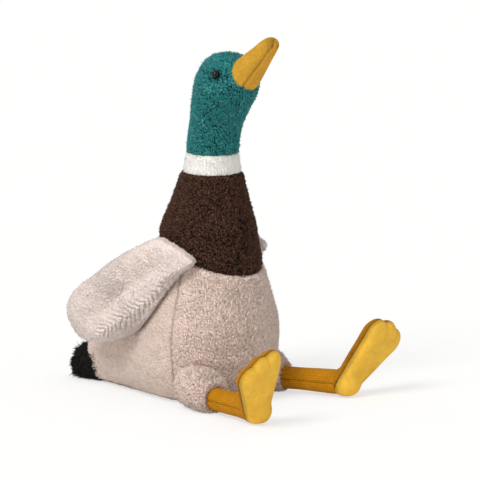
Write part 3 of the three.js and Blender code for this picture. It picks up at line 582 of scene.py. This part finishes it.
# The seat is a flat panel of the same plush that closes the body underneath.
# It lies on the floor with the weight of the bean pouch on it.
def disc(count):
    """A square grid pulled out to a disc: how far out each point is, and its direction."""
    x, y = np.meshgrid(np.linspace(-1, 1, count), np.linspace(-1, 1, count))
    u, v = x * np.sqrt(1 - y ** 2 / 2), y * np.sqrt(1 - x ** 2 / 2)
    return np.hypot(u, v), np.arctan2(v, u)


def rim_lookup(outline, centre):
    """The outline's distance from its centre in any direction."""
    steps_between = 60
    step = np.linspace(0, len(outline), steps_between * len(outline), endpoint=False)
    looped = np.concatenate([outline, outline[:1]])
    count = np.arange(len(looped))
    arms = np.stack([np.interp(step, count, looped[:, k]) for k in (0, 1)], axis=1) - centre
    turns, lengths = np.arctan2(arms[:, 1], arms[:, 0]), np.hypot(arms[:, 0], arms[:, 1])
    order = np.argsort(turns)
    return lambda turn: np.interp(turn, turns[order], lengths[order], period=2 * np.pi)


seat_inset = 0.6 * mm
seat_height = 0.9 * mm
seat_rim_rise = 1.2 * mm
seat_reach, seat_turn = disc(72)
seat_middle = np.array((-36 * mm, 0))
rim_steps = 160
girth = np.linspace(0, 1, rim_steps) * trunk_reach(tail_seam_foot[0], floor_edge)
seat_rim = trunk_place(np.tile(girth, 2), np.full(2 * rim_steps, floor_edge),
                       np.repeat((1, -1), rim_steps))
seat_arm = rim_lookup(np.stack([-seat_rim[:, 1], seat_rim[:, 0]], axis=1), seat_middle)(seat_turn)
seat_out = seat_reach * (seat_arm - seat_inset)
sheet = place(seat_middle[0] + seat_out * np.cos(seat_turn), seat_out * np.sin(seat_turn),
                   seat_height + seat_rim_rise * seat_reach ** 8)
sheet = facing_out(sheet, (0, 40 * mm, 30 * mm))
# Painted shade along the seat's rim seam, and the pile pressed there.
close = np.exp(-((1 - seat_reach) * seat_arm / seam_shade) ** 2)
seat = plush_piece("seat_plush", sheet, close, side_plush, combed_back, 0.5 * mm, seed=31)
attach(seat, "body")
declare(seat, "belly", "seat_panel", fill=0.3)

# The chest and lower neck are one cone of dense chocolate-brown plush, sewn to the body
# along a slanting seam and to the cream collar at its top.
chocolate_plush = plush_material("chocolate_dense_plush", root="#040201", tip="#5c3e31",
                                 glint="#8e7060", sheen=0.12, patch=7 * mm, parted=0.38)
collar_foot_height = 175.3 * mm
neck_columns, neck_rows = 270, 98
neck_turn = np.linspace(-1, 1, neck_columns)


def half_girth(height):
    """Half the way round the trunk at a height."""
    front, rump, back, apart, meet, flank = trunk_level(height)
    return front * meet + flank + rump * (np.pi - meet)


def round_neck(height):
    """Brown cloth all round, one row at each of the given heights."""
    return trunk_place(np.abs(neck_turn) * half_girth(height), height, np.sign(neck_turn))


neck_bottom = seam_top(lambda h: np.abs(neck_turn) * half_girth(h))
neck_rise = np.linspace(0, 1, neck_rows)[:, None]
sheet = round_neck(neck_bottom + (collar_foot_height - neck_bottom) * neck_rise)
sheet = facing_out(sheet, (0, 5 * mm, 140 * mm))
sheet, close = sewn(stuffed(sheet, 0.4 * mm), ("top", "bottom"))
sheet[:, -1] = sheet[:, 0]
# Under the seam the brown cloth goes on, pressed flat between the body and the stuffing,
# so that the neck can bend by sliding out of the body. It is kept within a ball round the
# neck's pivot, a little narrower from side to side.
neck_pivot = np.array((0, -1.3 * mm, 134.2 * mm))
tuck_rows = 18
tuck_inset = 1.7 * mm
ball_radius = 51.9 * mm
ball_narrowing = (0.9, 1, 1)
tuck = round_neck(neck_bottom - np.linspace(tuck_rows, 1, tuck_rows)[:, None] * mm)
tuck = facing_out(tuck, (0, 5 * mm, 110 * mm))
tuck = tuck - outward(tuck) * tuck_inset
tuck[:, -1] = tuck[:, 0]
arms = tuck - neck_pivot
lengths = np.linalg.norm(arms / ball_narrowing, axis=2, keepdims=True)
tuck = neck_pivot + arms * np.minimum(ball_radius / lengths, 1)
sheet = np.concatenate([tuck, sheet])
# The tuck's seam value lays its pile flat and darkens it with painted seam shade.
close = np.concatenate([np.full(tuck.shape[:2], 2.0), close])
neck = plush_piece("neck_plush", sheet, 0.5 * close, chocolate_plush, combed_down, 2.0 * mm,
                   lean=0.7, seed=41, parting=0.35 * mm)
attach(neck, "neck")
declare(neck, "chest", "neck_cover")

# The collar is a band of cream plush between the brown neck and the green head,
# short-piled and a little fuller than its seams.
head_top = 268.4 * mm
head_radius = 22.6 * mm
head_forward = 13 * mm
collar_top_height = 190.2 * mm
# height, middle's place forward, half width along and across, as shares
head_shares = np.array([
    (0.59, -0.2, 0.99, 0.99), (0.653, -0.19, 0.97, 0.97), (0.68, -0.19, 0.9, 0.9),
    (0.71, -0.18, 0.862, 0.862), (0.76, -0.06, 0.852, 0.85), (0.802, 0.13, 0.885, 0.872),
    (0.838, 0.4, 0.975, 0.925), (0.873, 0.7, 1.07, 0.98), (0.91, 0.9, 1.09, 1),
    (0.946, 1, 0.985, 0.9), (0.973, 1, 0.765, 0.7), (0.991, 0.97, 0.44, 0.4), (0.997, 0.95, 0, 0),
])


def head_line(low, high, count):
    """Even steps up the head: height, middle's place forward, and the two half widths."""
    rows = head_shares * (head_top, head_forward, head_radius, head_radius)
    run = run_along(np.diff(rows[:, 0]), np.diff(rows[:, 2]))
    fine_steps = 1200
    dense = through(run, rows, np.linspace(0, run[-1], fine_steps))
    kept = dense[(dense[:, 0] >= low) & (dense[:, 0] <= high)]
    if high >= dense[-1, 0]:
        kept[-1] = dense[-1]
    run = run_along(np.diff(kept[:, 0]), np.diff(kept[:, 2]))
    at = np.linspace(0, run[-1], count)
    return np.stack([np.interp(at, run, kept[:, k]) for k in range(4)], axis=1)


def head_sheet(line, turn):
    height, forward, along, across = (line[:, k][:, None] for k in range(4))
    return place(forward + along * np.cos(turn), across * np.sin(turn), height)


cream_plush = plush_material("cream_short_plush", root="#f8f4e9", tip="#fffefa", glint="#ffffff",
                             patch=6 * mm, patch_depth=0.05)
collar_turn = np.linspace(-np.pi, np.pi, 140)
sheet = head_sheet(head_line(collar_foot_height, collar_top_height, 17), collar_turn)
sheet = facing_out(sheet, (0, 0, 182 * mm))
sheet, close = sewn(sheet, ("top", "bottom"), depth=0.6 * mm)
sheet[:, -1] = sheet[:, 0]
collar = plush_piece("collar_plush", sheet, close * 0.4, cream_plush, combed_down, 1.8 * mm,
                     lean=0.9, seed=51, parting=0.2 * mm)
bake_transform(collar, "neck", "head", start=(0, 0, 175.5 * mm), end=(0, 0, 190 * mm))
declare(collar, "collar", "collar_band")

# The head and upper neck are two mirrored panels of green plush, sewn together over the
# crown and down the throat and the nape. The pile lies down from the crown.
eye_aim = np.array((1, -0.24, 0.3)) / np.linalg.norm((1, 0.24, 0.3))
eye_seat = np.array((20.6 * mm, -17 * mm, 254.5 * mm))
eye_dent, eye_dent_width, eye_shade_width = 2.6 * mm, 4.6 * mm, 4.4 * mm
teal_plush = plush_material("teal_brushed_plush", root="#03242a", tip="#389f9f", glint="#93d4d2",
                            sheen=0.18, patch=6 * mm, parted=0.34)
head_columns, head_rows = 96, 138
head_turn = np.linspace(0, np.pi, head_columns)
half_head = head_sheet(head_line(collar_top_height, head_top, head_rows), head_turn)
for side_name, side in sides:
    sheet = facing_out(half_head * (side, 1, 1), (0, -5 * mm, 225 * mm))
    sheet, close = sewn(stuffed(sheet, 0.35 * mm), ("start", "end", "bottom"), depth=0.5 * mm)
    sheet[..., 0] = np.where(side * sheet[..., 0] < 0, 0, sheet[..., 0])
    gap = np.linalg.norm(sheet - eye_seat * (side, 1, 1), axis=-1)
    sheet = moved_out(sheet, -eye_dent * np.exp(-(gap / eye_dent_width) ** 2))
    # Painted shade: the seam value darkens the seams and, strongest, the hollow round the eye.
    close = np.maximum(0.4 * close, 1.9 * np.exp(-(gap / eye_shade_width) ** 2))
    panel = plush_piece(f"head_plush_{side_name}", sheet, close, teal_plush, combed_down, 2.1 * mm,
                        lean=0.75, seed=61 + side, clump=(1.2 * mm, 2.0 * mm), parting=0.26 * mm)
    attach(panel, "head")
    declare(panel, "head", f"head_panel_{side_name}")

# Each eye is a small black safety eye, a domed plastic button whose shank goes through
# the plush to a washer inside. It sits deep, so the pile stands round it.
eye_radius = 3.1 * mm
# out and up from the dome's middle, as shares of the radius
eye_profile = [
    (0, 1.0), (0.3, 0.955), (0.55, 0.84), (0.78, 0.64), (0.93, 0.38), (1, 0.1), (0.97, -0.12),
    (0.8, -0.22), (0.36, -0.24), (0.36, -2.6), (0, -2.6),
]


def mottled_material(name, dark, light, size, relief=0, kind="TexNoise", detail=2.0, **finish):
    """A plain stuff whose tone wanders between two colours over a pattern of a real size."""
    material, add = new_material(name)
    where = add("TexCoord").outputs["Object"]
    pattern = add(kind, Vector=where, Scale=1 / size, Detail=detail)
    tone = add("Mix", data_type="RGBA", i0=pattern, i6=linear(dark), i7=linear(light))
    if relief:
        finish["Normal"] = add("Bump", Height=pattern, Distance=relief)
    shader = add("BsdfPrincipled", Base_Color=tone.outputs[2], **finish)
    add("OutputMaterial", Surface=shader)
    return material


# Polished acrylic is nearly black, with one small sharp highlight.
black_plastic = mottled_material("black_polished_acrylic", "#010102", "#040405", 2 * mm,
                                 Roughness=0.06, IOR=1.4)
for side_name, side in sides:
    button = bmesh.new()
    points = [button.verts.new((out * eye_radius, 0, up * eye_radius)) for out, up in eye_profile]
    edges = [button.edges.new(pair) for pair in zip(points, points[1:])]
    bmesh.ops.spin(button, geom=points + edges, cent=(0, 0, 0), axis=(0, 0, 1),
                   angle=2 * math.pi, steps=28, use_merge=True)
    bmesh.ops.remove_doubles(button, verts=button.verts, dist=0.01 * mm)
    bmesh.ops.recalc_face_normals(button, faces=button.faces)
    turn = Vector(eye_aim * (side, 1, 1)).to_track_quat("Z", "Y").to_matrix()
    bmesh.ops.rotate(button, verts=button.verts, cent=(0, 0, 0), matrix=turn)
    bmesh.ops.translate(button, verts=button.verts, vec=Vector(eye_seat * (side, 1, 1)))
    eye = finish_piece(f"eye_button_{side_name}", button, black_plastic)
    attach(eye, "head")
    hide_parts(f"eye_{side_name}")

# The bill is ribbed ochre cloth over firm stuffing: a wide upper panel and a narrow,
# paler lower one, sewn along both sides and tucked into the front of the head.
bill_length = 47.5 * mm
bill_half_width = 15.5 * mm
bill_half_height = 13.2 * mm
bill_pitch = math.radians(46)
bill_root = np.array((0, -24.5 * mm, 248 * mm))
bill_ahead = np.array((0, -math.cos(bill_pitch), math.sin(bill_pitch)))
bill_up = np.array((0, math.sin(bill_pitch), math.cos(bill_pitch)))
bill_shares = np.array([
    (-0.28, 1.01, 1.01), (0, 1, 1), (0.22, 0.93, 0.88), (0.46, 0.83, 0.72), (0.7, 0.71, 0.57),
    (0.86, 0.6, 0.48), (0.94, 0.47, 0.38), (0.985, 0.28, 0.24), (1.0, 0, 0),
])
lower_share = 0.78
seam_taper = 0.6
jersey_thickness = 1.2 * mm
nub_size = 1.2 * mm
fade_size = 8 * mm


def ribbed_material(name, dark, light, rib=1.5 * mm, height=0.5 * mm):
    """Fine ribbed polyester jersey, knitted: matt, with ribs that follow the cloth and a nubby face,
    and painted shade between the ribs and along the stitched seams."""
    material, add = new_material(name)
    laid = add("Attribute", attribute_name="cloth_place").outputs["Vector"]
    seam = add("Attribute", attribute_name="seam").outputs["Fac"]
    where = add("TexCoord").outputs["Object"]
    nubs = add("TexNoise", Vector=where, Scale=1 / nub_size, Detail=3.0, Roughness=0.65)
    patches = add("TexNoise", Vector=where, Scale=1 / fade_size, Detail=3.0)
    ribs = add("TexWave", bands_direction="X", Vector=laid, Scale=2 * math.pi / rib / 20,
               Distortion=0.9, Detail=2.0, Detail_Scale=2.5)
    mixed = add("Mix", data_type="RGBA", i0=nubs, i6=linear(dark), i7=linear(light))
    # Painted shade in the grooves between the ribs.
    painted_rib_shade = add("Math", operation="MULTIPLY_ADD", i0=ribs.outputs["Fac"], i1=0.22, i2=0.86)
    patched = add("Math", operation="MULTIPLY_ADD", i0=patches, i1=0.4, i2=0.8)
    # Painted shade along the stitched seams.
    painted_seam_shade = add("Math", operation="MULTIPLY_ADD", i0=seam, i1=-0.4, i2=1.0)
    both = add("Math", operation="MULTIPLY", i0=painted_rib_shade, i1=patched)
    total = add("Math", operation="MULTIPLY", i0=both, i1=painted_seam_shade)
    tone = add("VectorMath", operation="SCALE", i0=mixed.outputs[2], Scale=total)
    relief = add("Math", operation="MULTIPLY_ADD", i0=nubs, i1=0.8, i2=ribs.outputs["Fac"])
    bump = add("Bump", Height=relief, Distance=height, Strength=0.9)
    shader = add("BsdfPrincipled", Base_Color=tone, Normal=bump, Roughness=0.85,
                 Specular_IOR_Level=0.2, Sheen_Weight=0.15, Sheen_Roughness=0.4,
                 Sheen_Tint=linear(light))
    add("OutputMaterial", Surface=shader)
    return material


ochre_rib = ribbed_material("ochre_ribbed_jersey", dark="#b46c08", light="#ffce4c", rib=1.2 * mm)
shin_rib = ribbed_material("dark_ochre_ribbed_jersey", dark="#8a5200", light="#e9a00c")
pale_rib = ribbed_material("pale_ochre_ribbed_jersey", dark="#c8871a", light="#efb744")


def laid_out(spot, *arms):
    """The points that lie given distances from a spot along given directions."""
    for distance, way in arms:
        spot = spot + distance[..., None] * way
    return spot


def ribbed_piece(name, sheet, closeness, material):
    """A panel of jersey or velour, which is thinner than plush and has no pile to see."""
    return finish_piece(name, cloth_object(sheet, closeness, jersey_thickness)[0], material)


def bill_sheet(other_seam, columns, rows):
    """Cloth round the bill from one side's seam to the other's."""
    run = run_along(np.diff(bill_shares[:, 0]) * bill_length,
                    np.diff(bill_shares[:, 2]) * bill_half_height)
    line = through(run, bill_shares, np.linspace(0, run[-1], rows))
    along = line[:, 0][:, None] * bill_length
    wide = np.maximum(line[:, 1], 0)[:, None] * bill_half_width
    high = np.maximum(line[:, 2], 0)[:, None] * bill_half_height
    drop = lower_share * bill_half_height * (1 - seam_taper * along / bill_length)
    seam_turn = np.arccos(np.clip(-drop / np.maximum(high, 1e-6), -0.9, 0))
    turn = seam_turn + (other_seam(seam_turn) - seam_turn) * np.linspace(0, 1, columns)
    spots = laid_out(bill_root, (along, bill_ahead), (high * np.cos(turn), bill_up))
    spots[..., 0] = wide * np.sin(turn)
    return spots


for name, other_seam, columns, material, replaced in (
    ("upper_bill_rib", lambda turn: -turn, 84, ochre_rib, "upper_bill"),
    ("lower_bill_rib", lambda turn: 2 * np.pi - turn, 40, pale_rib, "lower_bill"),
):
    sheet = facing_out(bill_sheet(other_seam, columns, 90), bill_root + bill_ahead * 20 * mm)
    sheet, close = sewn(stuffed(sheet, 0.25 * mm), ("start", "end"), depth=0.7 * mm, width=1.4 * mm)
    panel = ribbed_piece(name, sheet, 0.6 * close, material)
    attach(panel, "head")
    declare(panel, "rib", replaced, fill=0.9)

# The tail is a short stub of long black pile that droops to the floor, sewn into the
# back of the body. Its tufts are the longest on the duck and part into points.
tail_reach = 138 * mm
tail_half_width = 14.4 * mm
tail_half_height = 15.2 * mm
# reach, size and middle's height, as shares
tail_shares = np.array([
    (0.73, 1.02, 1.16), (0.8, 1.02, 1.06), (0.87, 0.93, 0.93), (0.93, 0.76, 0.82),
    (0.965, 0.5, 0.75), (0.98, 0.26, 0.7), (0.985, 0, 0.68),
])
run = run_along(np.diff(tail_shares[:, 0]) * tail_reach,
                np.diff(tail_shares[:, 1]) * tail_half_width)
tail_line = through(run, tail_shares, np.linspace(0, run[-1], 76))
tail_turn = np.linspace(-np.pi, np.pi, 150)
tail_size = np.maximum(tail_line[:, 1], 0)[:, None]
sheet = place(
    -tail_line[:, 0][:, None] * tail_reach,
    tail_size * tail_half_width * np.sin(tail_turn),
    tail_line[:, 2][:, None] * tail_half_height + tail_size * tail_half_height * np.cos(tail_turn),
)
sheet = facing_out(sheet, (0, 118 * mm, 15 * mm))
close = np.zeros(sheet.shape[:2])
black_plush = plush_material("black_long_plush", root="#080707", tip="#1d1b1a", glint="#4a4643",
                             sheen=0.2, patch=7 * mm)
tail = plush_piece("tail_plush", off_floor(sheet), close, black_plush, combed_back, 5.0 * mm,
                   lean=1.3, seed=81, clump=(2.4 * mm, 6 * mm), parting=0.7 * mm)
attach(tail, "body")
declare(tail, "tail", "tail_cover")

# The wings are two flat stuffed flaps, each of an outer and an inner panel of plush
# sewn round the edge, and fixed to the body along the shoulder only.
wing_sweep = 92 * mm
wing_drop = 102 * mm
wing_half_thickness = 8.5 * mm
wing_outline = np.array([
    (0, -0.03), (0.12, 0), (0.27, 0.01), (0.41, -0.015), (0.67, -0.27), (0.85, -0.51),
    (0.985, -0.71), (0.985, -0.88), (0.81, -1), (0.61, -0.97), (0.4, -0.81), (0.28, -0.61),
    (0.18, -0.37), (0.08, -0.15),
]) * (wing_sweep, wing_drop)
wing_middle = np.array((0.52 * wing_sweep, -0.55 * wing_drop))
trough_head = np.array((0.3 * wing_sweep, -0.22 * wing_drop))
trough_foot = np.array((0.66 * wing_sweep, -0.74 * wing_drop))
trough_depth, trough_width, trough_end = 4.2 * mm, 8 * mm, 12 * mm
wing_fullness = 2.2 * mm
ridge_off = -13 * mm
ridge_height, ridge_width, ridge_end = 2.4 * mm, 7 * mm, 14 * mm
roll_reach, roll_fade, roll_middle, roll_length = 6.5 * mm, 26 * mm, 22 * mm, 30 * mm
body_gap, outer_gap = 2.6 * mm, 3 * mm
barb_angle = math.radians(40)
barb_pitch = 3.2 * mm
barb_height = 0.75 * mm
wing_plush = plush_material("pale_taupe_brushed_plush", root="#cfb8ae", tip="#fceee7",
                            glint="#fff8f3", patch=12 * mm, patch_depth=0.06, parted=-0.15)
corners = len(wing_outline)
looped = np.concatenate([wing_outline[-2:], wing_outline, wing_outline[:3]])
wing_edge = through(np.arange(-2, corners + 3), looped, np.linspace(0, corners, 500))


def trunk_half_width(forward, height):
    """How far out the trunk's skin is, or less than nothing where there is no trunk."""
    front, rump, back, apart, meet, flank = trunk_level(height)
    ahead = forward + back
    on_front = np.sqrt(np.maximum(front ** 2 - ahead ** 2, 0))
    on_rump = np.sqrt(np.maximum(rump ** 2 - (ahead + apart) ** 2, 0))
    on_flank = (front + ahead * -np.cos(meet)) / np.sin(meet)
    between = (ahead < front * np.cos(meet)) & (ahead > rump * np.cos(meet) - apart)
    return np.where(between, on_flank, np.maximum(on_front, on_rump))


# The outer panel has a long dent, the trough, and beside it a ridge of barbs. The flap's
# edge on that side is rolled out a little.
wing_reach, wing_turn = disc(132)
arm = rim_lookup(wing_edge, wing_middle)(wing_turn)
dome = np.sqrt(np.maximum(1 - wing_reach ** 6, 0))
back = wing_middle[0] + wing_reach * arm * np.cos(wing_turn)
rise = wing_middle[1] + wing_reach * arm * np.sin(wing_turn)
trough_length = np.linalg.norm(trough_foot - trough_head)
trough_way = (trough_foot - trough_head) / trough_length
from_head = np.stack([back, rise], axis=-1) - trough_head
along_trough = from_head @ trough_way
off_trough = from_head @ np.array((-trough_way[1], trough_way[0]))
over = np.maximum(np.maximum(-along_trough, along_trough - trough_length), 0)
trough = np.exp(-(off_trough / trough_width) ** 2 - (over / trough_end) ** 2)
trough = dome * trough_depth * trough
from_ridge = np.abs(off_trough - ridge_off)
strokes = (along_trough * math.sin(barb_angle) - from_ridge * math.cos(barb_angle)) / barb_pitch
ridged = np.exp(-(from_ridge / ridge_width) ** 2 - (over / ridge_end) ** 2)
forward = np.clip(-off_trough / roll_fade, 0, 1)
roll = roll_reach * forward * np.exp(-((along_trough - roll_middle) / roll_length) ** 2)
back = back + roll * trough_way[1]
rise = rise - roll * trough_way[0]
for side_name, side in sides:
    root = np.array((side * 43 * mm, -15 * mm, 115.5 * mm))
    x = np.array((0.99619, side * -0.08716, 0))
    y = np.array((side * 0.0819, 0.93612, 0.34202))
    z = np.cross(x, y)
    for panel_name, facing in (("outer", 1), ("inner", -1)):
        relief = ridge_height * dome * ridged - trough if facing > 0 else 0
        out = side * facing * ((wing_half_thickness + wing_fullness) * dome + relief)
        sheet = laid_out(root, (out, x), (back, y), (rise, z))
        centre = root + wing_middle[0] * y + wing_middle[1] * z
        turned = facing_out(sheet, centre - side * facing * 60 * mm * x)
        step = 1 if turned is sheet else -1
        sheet = turned
        wave = 2 * np.pi * strokes[:, ::step] + 1.4 * lumpy(sheet, 3.0)
        barbs = ridged[:, ::step] * np.sin(wave)
        sheet = moved_out(sheet, (0.6 * mm * lumpy(sheet) + barb_height * barbs) * dome)
        edge_gap = ((1 - wing_reach) * arm)[:, ::step]
        # Painted shade along the flap's edge seam and in the grooves between the barbs.
        close = 0.5 * np.exp(-(edge_gap / seam_shade) ** 2) + 0.5 * np.maximum(-barbs, 0)
        room = trunk_half_width(-sheet[..., 1], sheet[..., 2]) + body_gap
        room = room + (1 + facing) * outer_gap * dome
        sheet[..., 0] = side * np.maximum(side * sheet[..., 0], room)
        panel = plush_piece(f"wing_{panel_name}_plush_{side_name}", sheet, close, wing_plush,
                            combed_back, 1.6 * mm, lean=0.9, seed=91 + side + 3 * facing,
                            clump=(1.5 * mm, 3 * mm), parting=0.14 * mm)
        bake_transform(panel, "body", f"wing_{side_name}", start=Vector(root),
                 end=Vector(root - z * 12 * mm))
        declare(panel, "wing", f"wing_{panel_name}_{side_name}")

# The thighs are short plush tubes set into the bottom of the belly. Each ends in a
# gathered hem, and the ribbed shin is sewn in under the hem.
leg_frames = {  # the hip in millimetres, and the directions sideways and back
    "right": np.array([(-45, -18, 17), (0.96593, -0.25882, 0), (0.25882, 0.96593, 0)]),
    "left": np.array([(45, -4, 17), (0.97437, 0.22495, 0), (-0.22495, 0.97437, 0)]),
}
# along the leg, radius and drop in millimetres
thigh_line = np.array([
    (-13, 9, 0), (-8, 14.5, 0), (0, 16.2, 0), (10, 16.4, 1.2), (17.8, 15, 2.6), (22, 13, 4.6),
    (24.4, 11.2, 5.4), (24.2, 9.6, 5.8), (21, 9.2, 6),
]) * mm


def limb_sheet(line, rows, columns, origin, x, y):
    """Cloth round a limb that runs forward from its origin against the y axis."""
    run = run_along(np.diff(line[:, 0]), np.diff(line[:, 1]))
    steps = through(run, line, np.linspace(0, run[-1], rows))
    along, radius, drop = (steps[:, k][:, None] for k in range(3))
    turn = np.linspace(-np.pi, np.pi, columns)
    return laid_out(origin, (-along, y), (radius * np.sin(turn), x),
                    (radius * np.cos(turn) - drop, np.cross(x, y)))


for side_name, (hip, x, y) in leg_frames.items():
    hip = hip * mm
    sheet = limb_sheet(thigh_line, 80, 132, hip, x, y)
    sheet = stuffed(facing_out(sheet, hip - y * 8 * mm))
    sheet[:, -1] = sheet[:, 0]
    thigh = plush_piece(f"thigh_plush_{side_name}", off_floor(sheet), np.zeros(sheet.shape[:2]),
                        taupe_plush, combed(*-y), 2.6 * mm, lean=0.9, seed=101 + len(side_name))
    along = Vector(y) * -15 * mm
    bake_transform(thigh, "body", f"leg_{side_name}", start=Vector(hip), end=Vector(hip) + along)
    declare(thigh, "belly", f"thigh_cover_{side_name}")

# The shins are thin tubes of the ribbed ochre cloth with a stitched seam along the
# inner and outer side, stuffed lightly so that the foot can nod on them.
shin_line = np.array([
    (15, 8.4, 6), (20, 8.8, 6), (35, 8.8, 6), (55, 9.2, 6), (70, 9.7, 6), (78, 9.2, 6),
    (84, 6.5, 6), (87, 0, 6),
]) * mm
shin_seam_pull, shin_seam_width, shin_stitch_width = 0.8 * mm, 1.1 * mm, 0.5 * mm
jersey_floor_gap = 0.6 * mm
shin_rows, shin_columns = 80, 72
shin_turn = np.linspace(-np.pi, np.pi, shin_columns)
from_seam = np.abs(np.abs(shin_turn) - np.pi / 2) * 9 * mm * np.ones((shin_rows, 1))
shin_seam = shin_seam_pull * np.exp(-(from_seam / shin_seam_width) ** 2)
# Painted shade along the two stitched seams.
shin_close = np.exp(-(from_seam / shin_stitch_width) ** 2)
for side_name, (hip, x, y) in leg_frames.items():
    hip = hip * mm
    sheet = limb_sheet(shin_line, shin_rows, shin_columns, hip, x, y)
    sheet = stuffed(facing_out(sheet, hip - y * 50 * mm), 0.35 * mm)
    sheet = moved_out(sheet, -shin_seam)
    sheet[:, -1] = sheet[:, 0]
    sheet = off_floor(sheet, jersey_floor_gap)
    shin = ribbed_piece(f"shin_rib_{side_name}", sheet, shin_close, shin_rib)
    ankle = Vector(hip) - Vector(y) * 76 * mm
    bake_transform(shin, f"leg_{side_name}", f"foot_{side_name}",
             start=ankle + Vector(y) * 14 * mm, end=ankle)
    declare(shin, "rib", f"shin_cover_{side_name}")

# The webbed feet are flat stuffed shapes with three toes: a ribbed upper panel and a
# smooth velour sole, sewn round the edge, with the seam rolled into a narrow rim.
foot_frames = {  # the ankle in millimetres, and the directions sideways and out of the top
    "right": np.array([
        (-64.67, -91.41, 11), (0.88855, -0.16846, 0.42672), (-0.04238, 0.89602, 0.44198),
    ]),
    "left": np.array([
        (62.1, -78.05, 11), (0.89389, 0.13735, -0.42672), (0.07362, 0.894, 0.44198),
    ]),
}
heel_radius = 11.2 * mm
toe_radius = 9.5 * mm
side_toe_reach = 48 * mm
middle_toe_reach = 49 * mm
foot_half_thickness = 8.8 * mm
toe_spread = math.radians(14.5)
side_tilt = toe_spread + math.asin((toe_radius - heel_radius) / side_toe_reach)
foot_middle = np.array((0, 28 * mm))


def arc(centre, radius, first, last):
    """Points round a centre from one angle to another."""
    turns = np.linspace(first, last, 40)
    return np.array(centre) + radius * np.stack([np.cos(turns), np.sin(turns)], axis=1)


def foot_outline():
    """Heel, straight sides and three round toes, sideways and along the foot."""
    out, up = side_toe_reach * math.sin(toe_spread), side_toe_reach * math.cos(toe_spread)
    apart = math.hypot(out, up - middle_toe_reach)
    lean = math.atan2(middle_toe_reach - up, out)
    lift = math.acos(apart / 2 / toe_radius)
    half_turn = math.pi
    return np.concatenate([
        arc((0, 0), heel_radius, half_turn + side_tilt, 2 * half_turn - side_tilt),
        arc((out, up), toe_radius, -side_tilt, half_turn - lean - lift),
        arc((0, middle_toe_reach), toe_radius, lift - lean, half_turn - lift + lean)[1:-1],
        arc((-out, up), toe_radius, lean + lift, half_turn + side_tilt),
    ])


# Velour is a pile too short to see: matt, with a fine nap in place of ribs.
velour = ribbed_material("ochre_velour", dark="#e4a31e", light="#ffd65a", rib=0.8 * mm,
                         height=0.12 * mm)
foot_reach, foot_turn = disc(84)
foot_arm = rim_lookup(foot_outline(), foot_middle)(foot_turn)
across = foot_reach * foot_arm * np.cos(foot_turn)
up = foot_middle[1] + foot_reach * foot_arm * np.sin(foot_turn)
plate = foot_half_thickness * np.sqrt(np.maximum(1 - foot_reach ** 4, 0))
heel = np.sqrt(np.maximum(heel_radius ** 2 - across ** 2 - up ** 2, 0)) * 1.03
# Painted shade round the edge seam.
close = np.exp(-((1 - foot_reach) * foot_arm / (0.6 * mm)) ** 2)
for side_name, (ankle, x, y) in foot_frames.items():
    ankle = ankle * mm
    z = np.cross(x, y)
    for panel_name, facing, material, slot in (
        ("sole", -1, velour, "sole"), ("top", 1, shin_rib, "rib"),
    ):
        out = facing * (plate ** 4 + heel ** 4) ** 0.25
        sheet = laid_out(ankle, (across, x), (out, y), (up, z))
        sheet = facing_out(sheet, ankle + z * foot_middle[1] - facing * y * 40 * mm)
        sheet = off_floor(stuffed(sheet, 0.35 * mm), jersey_floor_gap)
        panel = ribbed_piece(f"foot_{panel_name}_cloth_{side_name}", sheet, close, material)
        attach(panel, f"foot_{side_name}")
        declare(panel, slot, f"foot_{panel_name}_{side_name}")

# Inside, every part is filled with loose polyester wadding. The seat holds a calico
# pouch of plastic beans, and plain nylon washers lock the eyes.
# Wadding is soft and matt, in pale clumps. Calico is matt and cream, with a weave drawn
# coarse enough to see. Moulded nylon is satin and a little off white.
insides = {
    "filling": mottled_material("polyester_wadding", "#d9d7d0", "#fbfaf6", 5 * mm,
                                relief=2 * mm, detail=6.0, Roughness=1.0, Sheen_Weight=0.3),
    "pouch": mottled_material("unbleached_calico", "#cfc7b2", "#e8e2d2", 1.2 * mm,
                              relief=0.3 * mm, kind="TexVoronoi", detail=0.0, Roughness=0.9),
    "washer": mottled_material("white_moulded_nylon", "#d5d5d3", "#e8e8e6", 3 * mm,
                               Roughness=0.45, IOR=1.53),
}
for name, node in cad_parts.items():
    for word, material in insides.items():
        if word in name:
            for material_slot in node.material_slots:
                material_slot.material = material
